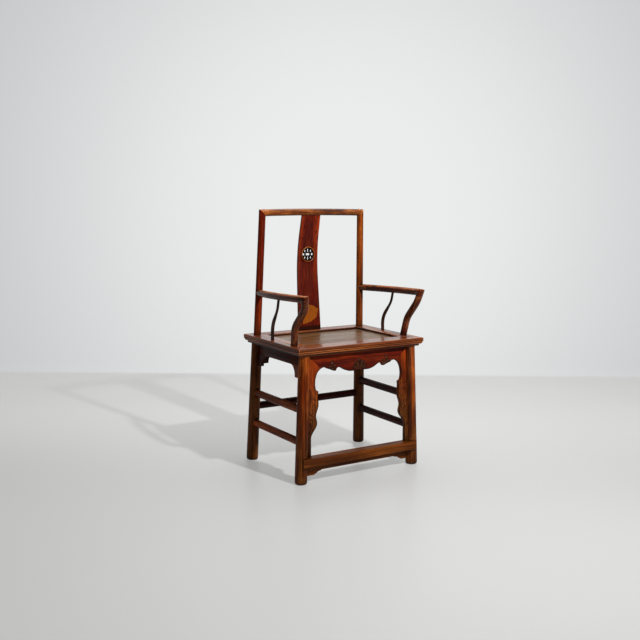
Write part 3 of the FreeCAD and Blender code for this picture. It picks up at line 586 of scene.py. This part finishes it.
class CHAIR_OT_top_rail(bpy.types.Operator):
    """Dress the top rail"""
    bl_idname = "chair.top_rail"
    bl_label = "Top rail"

    def execute(self, context):
        dress("top_rail", wood("top_rail", X, wear=0.8, depth=0.22, mirror=0.16, coat=0.10, gloss=0.32))
        return {"FINISHED"}


# Corners of the patch let into the splat, across and up, and the heights of the seam over its foot strip
PATCH_CORNERS = ((-0.0080, 0.6180), (0.0190, 0.6110), (0.0426, 0.5970), (0.0337, 0.5627),
                 (0.0060, 0.5460), (-0.0327, 0.5363), (-0.0260, 0.5750))
FOOT_SEAM = (0.5279, 0.5292)
# The medallion lies between these heights. Its openwork is dark inside the first radius, the middle of
# its bead runs round at the second, and the splat's edges are rounded only farther out than the third.
MEDALLION_HEIGHTS = (0.77, 0.87)
OPENWORK_RADIUS, BEAD_RING, SPLAT_EDGE = 0.0278, 0.0295, 0.0350
BEAD_STEPS = 48
GROUND_SLACK = 0.0001


def within(face, middle, radius):
    """Whether a face of the splat lies wholly inside a circle round the medallion's middle."""
    return all(math.hypot(vert.co.x, vert.co.z - middle) < radius for vert in face.verts)


def mark_splat(bm, middle):
    """Cuts the outlines of the let-in patch and the foot strip, and gives their faces their woods."""
    for level in FOOT_SEAM:
        cut_level(bm, level)
    corners = [Vector((x, 0.0, z)) for x, z in PATCH_CORNERS]
    sides = []
    for a, b in zip(corners, corners[1:] + corners[:1]):
        outward = (b - a).cross(Vector((0, 1, 0))).normalized()
        sides.append((a, outward))
        cut_plane(bm, a, outward)
    for face in bm.faces:
        point = face.calc_center_median()
        if all((point - a).dot(outward) < 0 for a, outward in sides):
            face.material_index = 1
        elif FOOT_SEAM[0] < point.z < FOOT_SEAM[1] or within(face, middle, OPENWORK_RADIUS):
            face.material_index = 2
        elif point.z < FOOT_SEAM[0]:
            face.material_index = 3


def medallion_face(bm):
    """Middle height of the medallion, and how far back its ground lies."""
    low, high = MEDALLION_HEIGHTS
    flat = [face for face in bm.faces
            if face.normal.y < -SQUARE and low < face.calc_center_median().z < high]
    depths = sorted({round(face.calc_center_median().y, 5) for face in flat})
    levels = [vert.co.z for face in flat for vert in face.verts
              if abs(vert.co.y - depths[-1]) < GROUND_SLACK]
    return (min(levels) + max(levels)) / 2, depths[-1]


def box_line(x, z, half_width, half_height):
    return [(x - half_width, 0, z - half_height), (x + half_width, 0, z - half_height),
            (x + half_width, 0, z + half_height), (x - half_width, 0, z + half_height)]


def oval_line(x, z, half_width, half_height, steps=14):
    angles = [2 * math.pi * i / steps for i in range(steps)]
    return [(x + half_width * math.cos(angle), 0, z + half_height * math.sin(angle)) for angle in angles]


# Ribs round the medallion's windows and petals: their line, across and up from the middle, half width,
# half height (metres) and thickness in measures of the ribs
RIBS = ((box_line, 0.0, 0.0, 0.0098, 0.0053, 1.9), (box_line, 0.0200, 0.0, 0.0056, 0.0051, 2.1),
        (box_line, 0.0, 0.0162, 0.0040, 0.0076, 2.5), (oval_line, 0.0136, 0.0136, 0.0046, 0.0068, 2.4))


def medallion_lines(bm, middle, ground, radius):
    """Rounded ribs round the medallion's openings, which narrow them."""
    on_ground = Matrix.Translation((0, ground, middle))
    for line, across, up, half_width, half_height, share in RIBS:
        for x in sorted({-across, across}):
            for z in sorted({-up, up}):
                points = line(x, z, half_width, half_height)
                tube(bm, points, [radius * share] * len(points), on_ground, closed=True)


class CHAIR_OT_splat(bpy.types.Operator):
    """Dress the splat with its medallion, patch and foot strip"""
    bl_idname = "chair.splat"
    bl_label = "Splat"

    def execute(self, context):
        looks = wood("splat", Z, wear=0.30, depth=0.40, mirror=0.10, coat=0.05, rub=rubbed_edges)
        patch = timber("patch_wood", colours().patch, scaled(colours().patch, 1.25), Z, wear=0.3,
                       depth=0.7, mirror=0.10, coat=0.05)
        dark = dirt_and_shade_wood()
        strip = timber("foot_strip_wood", srgb("3a1408"), srgb("5e2a14"), X, **DULL)
        bm = merged("back_splat")
        middle, ground = medallion_face(bm)
        surface = BVHTree.FromBMesh(bm)
        soften(bm, carving().arris, keep=lambda edge: abs(edge.verts[0].co.x) > SPLAT_EDGE)
        mark_splat(bm, middle)
        finished(bm, "back_splat", looks, patch, dark, strip)
        ribs = bmesh.new()
        medallion_lines(ribs, middle, ground, carving().ring)
        piece(ribs, "medallion_ribs", [dark])
        bead = bmesh.new()
        line = [surface.ray_cast(Vector((x, -1.0, z + middle)), Vector((0, 1, 0)))[0]
                for x, y, z in oval_line(0, 0, BEAD_RING, BEAD_RING, BEAD_STEPS)]
        tube(bead, line, [carving().bead_radius] * len(line), Matrix.Identity(4), closed=True)
        piece(bead, "medallion_bead", [wood("top_rail", X, wear=0.8)])
        return {"FINISHED"}


# Where the dark joint line crosses the arm rails behind their knuckles, and where their underside is
# painted in shade
KNUCKLE_SEAM = (-0.1846, -0.1822)
UNDERSIDE_SHADE = -0.190
# The joint of a right arm rail and its front post: the way that it faces, how far along that way the dark
# of rail and post ends, and the place that it is in front of and above
JOINT_WAY = (0.19, -0.24, 0.95)
RAIL_DARK, POST_DARK = 0.7416, 0.7386
KNUCKLE_BACK, KNUCKLE_FOOT = -0.183, 0.66


def knuckle_joint(bm, side, reach, above):
    """Darkens a thin band along the joint of an arm rail (above is 1) and its front post (above is -1)."""
    way = Vector(mirrored([JOINT_WAY], -1 if side == "left" else 1)[0])
    cut_plane(bm, way * (reach / way.length_squared), way)
    for face in bm.faces:
        point = face.calc_center_median()
        if point.y < KNUCKLE_BACK and point.z > KNUCKLE_FOOT and (point.dot(way) - reach) * above < 0:
            face.material_index = 1


class CHAIR_OT_arms(bpy.types.Operator):
    """Dress the arm rails, gooseneck posts and mid posts"""
    bl_idname = "chair.arms"
    bl_label = "Arms"

    def execute(self, context):
        for side in SIDES:
            bm = merged(f"{side}_arm_rail")
            for reach in KNUCKLE_SEAM:
                cut_plane(bm, (0, reach, 0), (0, 1, 0))
            for face in bm.faces:
                depth = face.calc_center_median().y
                if KNUCKLE_SEAM[0] < depth < KNUCKLE_SEAM[1]:
                    face.material_index = 1
                # Painted shade: the arm rail's downward faces in front of this depth take the dark wood
                elif face.normal.z < -FACING and depth < UNDERSIDE_SHADE:
                    face.material_index = 1
            # Wear and painted top light: faces of the arm rails that look up are made paler
            looks = wood("arms", Y, wear=0.7, depth=0.22, rub=rubbed_and_lit_tops, **BRIGHT)
            knuckle_joint(bm, side, RAIL_DARK, 1)
            finished(bm, f"{side}_arm_rail", looks, dirt_and_shade_wood())
            bm = merged(f"{side}_front_arm_post")
            looks = wood("arms", Z, wear=0.6, depth=0.30, lean=0.55, **BRIGHT)
            knuckle_joint(bm, side, POST_DARK, -1)
            finished(bm, f"{side}_front_arm_post", looks, dirt_and_shade_wood())
            dress(f"{side}_mid_arm_post", wood("mid_post", Z, wear=0.7, depth=0.22, mirror=0.2, coat=0.1))
        return {"FINISHED"}


# Heights of the seat edge's hollows between its beads, which are painted in shade, of the plain band under
# them, also painted in shade, and of the top
HOLLOWS = ((0.4998, 0.5022), (0.4934, 0.4957))
BAND = 0.4868
SEAT_TOP = 0.511
# The seat frame's arrises in widths of the others
SEAT_ARRIS = 0.6


def seat_rail(name, along):
    """Dresses a rail of the seat frame: painted shade in its hollows and band, and on its sides round the
    panel.
    """
    bm = merged(name)
    soften(bm, carving().arris * SEAT_ARRIS)
    for hollow in HOLLOWS:
        for level in hollow:
            cut_level(bm, level)
    # Painted shade: sides that face the panel and the band under the beads take the shaded wood, and the
    # hollows the dark wood
    for face in bm.faces:
        point = face.calc_center_median()
        if abs(face.normal.z) > FACING:
            face.material_index = 3 if point.z > SEAT_TOP else 0
        elif point.x * face.normal.x + point.y * face.normal.y < 0:
            face.material_index = 1
        elif any(low < point.z < high for low, high in HOLLOWS):
            face.material_index = 2
        elif point.z < BAND:
            face.material_index = 1
    looks = wood("seat", along, wear=0.90, depth=0.35, arris=0.5, mirror=0.14, coat=0.08, stretch=0.3)
    shade = wood("seat_shade", along, mirror=0.10, coat=0.04, arris=0.4, stretch=0.3)
    top = timber(f"seat_top_wood_{'xyz'[along]}", colours().seat, colours().seat_worn, along, wear=0.6,
                 depth=0.4, arris=0.5, mirror=0.55, coat=0.25, gloss=0.26, stretch=0.4)
    finished(bm, name, looks, shade, dirt_and_shade_wood(), top)


class CHAIR_OT_seat_frame(bpy.types.Operator):
    """Dress the four rails of the seat frame"""
    bl_idname = "chair.seat_frame"
    bl_label = "Seat frame"

    def execute(self, context):
        for end in ("front", "back"):
            seat_rail(f"seat_{end}_rail", X)
        for side in SIDES:
            seat_rail(f"seat_{side}_rail", Y)
        return {"FINISHED"}


class CHAIR_OT_seat_panel(bpy.types.Operator):
    """Dress the sunken panel and the battens under it"""
    bl_idname = "chair.seat_panel"
    bl_label = "Seat panel"

    def execute(self, context):
        dress("seat_panel", wood("panel", X, gloss=0.30, depth=0.75, mirror=0.26, coat=0.08, stretch=0.5))
        for side in SIDES:
            dress(f"{side}_seat_batten", wood("batten", Y, gloss=0.55, **DULL), carving().arris)
        return {"FINISHED"}


# A leaf's vein: its share of the leaf's length, the height of its ends in reliefs, its radii in cut lines
VEIN_REACH, VEIN_DIP, VEIN_RADII = 0.55, 0.80, (0.15, 0.28, 0.15)
# A stem's taper, the width of the cut beside it in cut lines, and how flat stem and cut are
STEM_TAPER, STEM_CUT, STEM_FLAT, CUT_FLAT = 0.55, 0.6, 0.55, 0.25
# How far in a scroll winds
SCROLL_WIND = 0.78


def leaf(carved, outline, x, z, half_width, half_height, turn, matrix):
    """A carved leaf with a cut line round it and a vein along it."""
    relief, cut = carving().relief, carving().cut
    lobe(outline, x, z, half_width + cut, half_height + cut, turn, relief * 0.5, matrix)
    lobe(carved, x, z, half_width, half_height, turn, relief, matrix)
    reach = half_height * VEIN_REACH
    run_x, run_z = math.sin(math.radians(turn)) * reach, math.cos(math.radians(turn)) * reach
    vein = [(x - run_x, -relief * VEIN_DIP, z - run_z), (x, -relief, z),
            (x + run_x, -relief * VEIN_DIP, z + run_z)]
    tube(outline, vein, [cut * share for share in VEIN_RADII], matrix)


def stem(carved, outline, points, thick, matrix):
    """A carved stem with a cut line on both sides."""
    cut = carving().cut * STEM_CUT
    radii = [thick * (1.0 - STEM_TAPER * i / (len(points) - 1)) for i in range(len(points))]
    for group, beside, flat in ((outline, cut, CUT_FLAT), (carved, 0.0, STEM_FLAT)):
        flatten = Matrix.Diagonal((1.0, flat, 1.0, 1.0))
        tube(group, points, [radius + beside for radius in radii], matrix @ flatten)


def scroll(x, z, radius, start, turns, side, steps=11):
    """Points along a scroll that winds in towards its middle."""
    points = []
    for i in range(steps):
        share = i / (steps - 1)
        angle = math.radians(start + side * 360 * turns * share)
        reach = radius * (1 - SCROLL_WIND * share)
        points.append((x + reach * math.cos(angle), 0.0, z + reach * math.sin(angle)))
    return points


# Leaves of the palmette in the middle of the front apron, of its right half, and of the leaf under the
# right arch: across, up, half width, half height (metres) and lean (degrees)
MIDDLE_LEAF = (0.0, 0.4305, 0.0112, 0.0185, 0)
PALMETTE = ((0.0140, 0.4245, 0.0098, 0.0145, 22), (0.0228, 0.4162, 0.0064, 0.0092, 52))
ARCH_LEAVES = ((0.1310, 0.4270, 0.0052, 0.0110, 52), (0.1160, 0.4205, 0.0050, 0.0105, 70),
               (0.1270, 0.4385, 0.0045, 0.0095, -30), (0.1120, 0.4330, 0.0040, 0.0085, -62))
# Dark curled tips of that leaf, and how proud they are in reliefs
HOOK_RISE = 1.2
HOOK_TIPS = ((0.1385, 0.4258, 0.0052, 0.0040, -10), (0.1268, 0.4236, 0.0062, 0.0032, 18),
             (0.1150, 0.4196, 0.0068, 0.0036, 12))
# The long stems of the side aprons, and their thickness in veins
UPPER_STEM = ((0.2215, 0.0, 0.3560), (0.2170, 0.0, 0.3370), (0.2060, 0.0, 0.3200), (0.1960, 0.0, 0.3080))
LOWER_STEM = ((0.2050, 0.0, 0.2640), (0.2120, 0.0, 0.2480), (0.2060, 0.0, 0.2300), (0.2130, 0.0, 0.2080),
              (0.2220, 0.0, 0.1800), (0.2255, 0.0, 0.1480))
STEM_THICK = 2.4
# Scrolls: across, up, radius, where they start (degrees), turns and thickness in veins
SCROLLS = ((0.0070, 0.4125, 0.0050, 100, 1.1, 1.3), (0.1225, 0.4500, 0.0080, 250, 1.2, 1.5),
           (0.1945, 0.3360, 0.0075, 100, 1.1, 1.5), (0.2030, 0.2830, 0.0145, 70, 1.5, 2.2),
           (0.2185, 0.2400, 0.0050, 200, 1.0, 1.3))
# Leaves that grow from the side aprons' stems, as in PALMETTE
BOARD_LEAVES = ((0.2130, 0.3180, 0.0042, 0.0100, -24), (0.2190, 0.3450, 0.0034, 0.0085, 12),
                (0.2010, 0.3160, 0.0036, 0.0080, 48), (0.2165, 0.2590, 0.0036, 0.0090, 38),
                (0.2065, 0.2400, 0.0034, 0.0080, -28), (0.2165, 0.2180, 0.0036, 0.0090, 24),
                (0.2185, 0.1910, 0.0032, 0.0085, -34), (0.2275, 0.1680, 0.0030, 0.0090, 8))
# Scrolls above this height are on the front apron, the others on the side aprons
APRON_FOOT = 0.4


def leaf_carving(side, carved, boards, outline, matrix):
    """Carved leaf work of one half of the front apron and its long side apron."""
    vein = carving().vein
    for group, leaves in ((carved, PALMETTE), (carved, ARCH_LEAVES), (boards, BOARD_LEAVES)):
        for x, z, wide, high, turn in leaves:
            leaf(group, outline, side * x, z, wide, high, side * turn, matrix)
    for x, z, wide, high, turn in HOOK_TIPS:
        lobe(outline, side * x, z, wide, high, side * turn, carving().relief * HOOK_RISE, matrix)
    for x, z, radius, start, turns, thick in SCROLLS:
        first = start if side > 0 else 180 - start
        group = boards if z < APRON_FOOT else carved
        stem(group, outline, scroll(side * x, z, radius, first, turns, side), vein * thick, matrix)
    for points in (UPPER_STEM, LOWER_STEM):
        stem(boards, outline, mirrored(points, side), vein * STEM_THICK, matrix)


# The dark rim's radius in radii of the bead
RIM_SHARE = 1.1


def cusped_line(name, kind, inset, radius, material):
    """A round line along a board's cusped edge."""
    path = cusped_path(name, inset)
    bm = bmesh.new()
    tube(bm, path, [radius] * len(path), Matrix.Identity(4))
    piece(bm, f"{name}_{kind}", [material])


class CHAIR_OT_front_apron(bpy.types.Operator):
    """Dress the cusped front apron and its long side aprons, with their bead and leaf carving"""
    bl_idname = "chair.front_apron"
    bl_label = "Front apron"

    def execute(self, context):
        dark = dirt_and_shade_wood()
        boards = {"front_apron": X, "front_left_side_apron": Z, "front_right_side_apron": Z}
        radius = carving().bead_radius
        for name, along in boards.items():
            if name == "front_apron":
                looks = wood("apron", along, wear=0.5, arris=0.4, **DULL)
            else:
                looks = wood("board", along, wear=0.6, depth=0.20, low=(0.48, 0.16), arris=0.4, **DULL)
            dress(name, looks, carving().arris)
            cusped_line(name, "bead", carving().bead_inset, radius, looks)
            cusped_line(name, "rim", radius, radius * RIM_SHARE, dark)
        carved, on_boards, outline = bmesh.new(), bmesh.new(), bmesh.new()
        matrix = board_matrix("front_apron")
        leaf(carved, outline, *MIDDLE_LEAF, matrix)
        for side in (-1, 1):
            leaf_carving(side, carved, on_boards, outline, matrix)
        piece(carved, "apron_leaves", [wood("carved", Z, wear=0.4, **DULL)])
        piece(on_boards, "board_leaves", [wood("board", Z)])
        piece(outline, "apron_leaf_cuts", [dark])
        return {"FINISHED"}


class CHAIR_OT_side_aprons(bpy.types.Operator):
    """Dress the plain side and rear aprons and their bracket heads"""
    bl_idname = "chair.side_aprons"
    bl_label = "Side and rear aprons"

    def execute(self, context):
        width = carving().arris
        dress("rear_apron", wood("side_apron", X, **DULL), width)
        for side in SIDES:
            dress(f"{side}_apron", wood("side_apron", Y, **DULL), width)
            dress(f"rear_apron_{side}_bracket", wood("side_apron", Z, **DULL), width)
            dress(f"{side}_apron_back_bracket", wood("side_apron", Z, **DULL), width)
            dress(f"{side}_apron_front_bracket", wood("bracket", Z, **DULL), width)
        return {"FINISHED"}


class CHAIR_OT_foot_rest(bpy.types.Operator):
    """Dress the foot rest and the strip under it"""
    bl_idname = "chair.foot_rest"
    bl_label = "Foot rest"

    def execute(self, context):
        looks = wood("foot_rest", X, wear=0.55, depth=0.35, stretch=0.4, **DULL)
        dress("foot_rest", looks)
        dress("foot_rest_apron", looks, carving().arris)
        return {"FINISHED"}


class CHAIR_OT_stretchers(bpy.types.Operator):
    """Dress the five oval stretchers"""
    bl_idname = "chair.stretchers"
    bl_label = "Stretchers"

    def execute(self, context):
        # Painted shade: the rear and right stretchers take the darker copy of the stretchers' wood
        dress("rear_stretcher", wood("far_stretcher", X, **DULL))
        for side, kind in (("left", "stretcher"), ("right", "far_stretcher")):
            for level in ("upper", "lower"):
                dress(f"{side}_{level}_stretcher", wood(kind, Y, **DULL))
        return {"FINISHED"}


# The camera's picture: which way is right in it, which way is up, and which way it looks
PICTURE_RIGHT = Vector((0.8450795, -0.5345741, 0.0084325))
PICTURE_UP = Vector((0.0670077, 0.1215505, 0.9903209))
PICTURE_AHEAD = Vector((0.5304249, 0.8363349, -0.1385404))
SENSOR_WIDTH = 36.0
# How far the floor reaches to the sides and to the front, and half the backdrop's height
FLOOR_REACH = 7.0
WALL_HALF = 2.2
# Brightest place of the backdrop's painted pool of light, to the right and up, and where that painted light
# starts and ends to fade round it
BRIGHT_PLACE = (0.1, 1.0)
WALL_FADE = (0.4, 2.9)
# Distances from the chair's middle between which the floor grows paler as painted light, and sweeps up into
# the backdrop
FLOOR_FADE = (-0.4, 0.9)
SWEEP = (1.73, 1.80)
# Width, place and aim of the lamps
LAMP_WIDTH, LAMP_AIM = 0.11, (0.0, 0.2, 0.4)
SOFT_WIDTH, SOFT_PLACE, SOFT_AIM = 1.8, (0.5, 0.5, 2.7), (0.0, 0.0, 0.5)
ROOM_COLOUR = (0.97, 0.985, 1.0, 1.0)


def seen_directly(tree):
    """1 for rays that see the backdrop itself or mirrored, 0 for the light that it gives."""
    path = node(tree, "ShaderNodeLightPath").outputs
    seen = calc(tree, path["Is Camera Ray"], path["Is Glossy Ray"], "MAXIMUM")
    return calc(tree, seen, path["Is Transmission Ray"], "MAXIMUM")


def wall_colour_with_painted_light(tree, place, middle):
    """The backdrop's colour, with a painted pool of light that darkens away from its brightest place."""
    away = node(tree, "ShaderNodeVectorMath", {0: place, 1: middle}, operation="DISTANCE").outputs["Value"]
    return blend(tree, fit(tree, away, *WALL_FADE), opaque(colours().wall), opaque(colours().wall_edge))


def paint(tree, shader, colour, roughness, share):
    """Puts a colour on a shader, and lets a share of it glow."""
    tree.links.new(colour, shader.inputs["Base Color"])
    shader.inputs["Roughness"].default_value = roughness
    glow = node(tree, "ShaderNodeEmission", {"Color": colour}).outputs[0]
    mix = node(tree, "ShaderNodeMixShader", {0: share, 1: shader.outputs[0], 2: glow}).outputs[0]
    tree.links.new(mix, tree.nodes["Material Output"].inputs["Surface"])


def wall_material(middle):
    """Pale backdrop with a painted pool of light behind the chair, glowing for camera and mirror rays."""
    material, tree, shader = bare_material("backdrop_paint")
    colour = wall_colour_with_painted_light(tree, object_place(tree), middle)
    paint(tree, shader, colour, 0.9, seen_directly(tree))
    return material


def floor_material(level, middle):
    """Pale smooth floor, painted paler towards the back as light falls, that keeps the chair's shadow, and
    sweeps up into the backdrop at its far side.
    """
    material, tree, shader = bare_material("floor_paint")
    place = object_place(tree)
    ahead = node(tree, "ShaderNodeVectorMath", {0: place, 1: level}, operation="DOT_PRODUCT")
    ahead = ahead.outputs["Value"]
    paler = fit(tree, ahead, *FLOOR_FADE)
    colour = blend(tree, paler, opaque(colours().floor_edge), opaque(colours().floor))
    cloud = noise(tree, place, 1.3, 2.0, 0.55)
    colour = blend(tree, fit(tree, cloud, 0.3, 0.7, 0.0, 0.06), colour, (0.5, 0.5, 0.5, 1.0))
    colour = blend(tree, fit(tree, ahead, *SWEEP), colour, wall_colour_with_painted_light(tree, place, middle))
    # Painted light: the floor glows at half share for camera and mirror rays, which pales the chair's
    # shadow, and wholly where it sweeps into the backdrop
    paint(tree, shader, colour, 0.34, calc(tree, seen_directly(tree), fit(tree, ahead, *SWEEP, 0.5, 1.0)))
    return material


def stage_sheet(name, lay, material):
    """A flat sheet of the stage, each of whose corners is laid at its place."""
    bm = bmesh.new()
    bmesh.ops.create_grid(bm, x_segments=1, y_segments=1, size=1.0)
    for vert in bm.verts:
        vert.co = lay(vert.co)
    mesh = bpy.data.meshes.new(name)
    bm.to_mesh(mesh)
    bm.free()
    mesh.materials.append(material)
    made = bpy.data.objects.new(name, mesh)
    bpy.context.scene.collection.objects.link(made)


def lamp(name, power, size, place, aim):
    """A round lamp at a place, turned to what it lights."""
    light = bpy.data.lights.new(name, "AREA")
    light.energy = power
    light.shape = "DISK"
    light.size = size
    made = bpy.data.objects.new(name, light)
    bpy.context.scene.collection.objects.link(made)
    made.location = place
    made.rotation_euler = (Vector(aim) - Vector(place)).to_track_quat("-Z", "Y").to_euler()


class CHAIR_OT_stage(bpy.types.Operator):
    """Set the floor, backdrop, lamps and camera"""
    bl_idname = "chair.stage"
    bl_label = "Stage"

    def execute(self, context):
        scene = context.scene
        view = studio()
        level = Vector((PICTURE_AHEAD.x, PICTURE_AHEAD.y, 0.0)).normalized()
        across = Vector((level.y, -level.x, 0.0))
        wall_foot = level * view.backdrop
        middle = wall_foot + across * BRIGHT_PLACE[0] + Vector((0, 0, BRIGHT_PLACE[1]))

        def on_floor(corner):
            run = view.backdrop if corner.y > 0 else -FLOOR_REACH
            return level * run + across * (corner.x * FLOOR_REACH)

        def on_wall(corner):
            upward = Vector((0, 0, (corner.y + 1) * WALL_HALF))
            return wall_foot + across * (corner.x * FLOOR_REACH) + upward

        stage_sheet("floor", on_floor, floor_material(level, middle))
        stage_sheet("backdrop", on_wall, wall_material(middle))
        lamp("lamp", view.lamp_power, LAMP_WIDTH, view.lamp, LAMP_AIM)
        lamp("soft_light", view.window_power, SOFT_WIDTH, SOFT_PLACE, SOFT_AIM)

        world = bpy.data.worlds.new("room")
        scene.world = world
        world.use_nodes = True
        background = world.node_tree.nodes["Background"]
        background.inputs["Color"].default_value = ROOM_COLOUR
        background.inputs["Strength"].default_value = view.sky

        camera = bpy.data.cameras.new("camera")
        camera.lens = view.lens
        camera.sensor_width = SENSOR_WIDTH
        made = bpy.data.objects.new("camera", camera)
        scene.collection.objects.link(made)
        turn = Matrix((PICTURE_RIGHT, PICTURE_UP, -PICTURE_AHEAD)).transposed().to_4x4()
        made.matrix_world = Matrix.Translation(view.camera) @ turn
        scene.camera = made
        scene.view_settings.view_transform = "Standard"
        return {"FINISHED"}


STEPS = ("legs", "top_rail", "splat", "arms", "seat_frame", "seat_panel", "front_apron", "side_aprons",
         "foot_rest", "stretchers", "stage")


class CHAIR_PT_panel(bpy.types.Panel):
    """Lists the steps and what can be changed"""
    bl_idname = "CHAIR_PT_panel"
    bl_label = "Official's hat armchair"
    bl_space_type = "VIEW_3D"
    bl_region_type = "UI"
    bl_category = "Armchair"

    def draw(self, context):
        layout = self.layout
        for step in STEPS:
            layout.operator("chair." + step)
        for group in (colours(), carving(), studio()):
            box = layout.box()
            for name in group.bl_rna.properties.keys():
                if name not in ("rna_type", "name"):
                    box.prop(group, name)


CLASSES = (TimberColours, CarvingSizes, StudioSizes, CHAIR_OT_legs, CHAIR_OT_top_rail, CHAIR_OT_splat,
           CHAIR_OT_arms, CHAIR_OT_seat_frame, CHAIR_OT_seat_panel, CHAIR_OT_front_apron,
           CHAIR_OT_side_aprons, CHAIR_OT_foot_rest, CHAIR_OT_stretchers, CHAIR_OT_stage, CHAIR_PT_panel)


def register():
    for cls in CLASSES:
        bpy.utils.register_class(cls)
    bpy.types.Scene.chair_colours = PointerProperty(type=TimberColours)
    bpy.types.Scene.chair_carving = PointerProperty(type=CarvingSizes)
    bpy.types.Scene.chair_studio = PointerProperty(type=StudioSizes)


def unregister():
    del bpy.types.Scene.chair_studio
    del bpy.types.Scene.chair_carving
    del bpy.types.Scene.chair_colours
    for cls in reversed(CLASSES):
        bpy.utils.unregister_class(cls)


def main():
    register()
    for step in STEPS:
        getattr(bpy.ops.chair, step)()


if __name__ == "__main__":
    main()
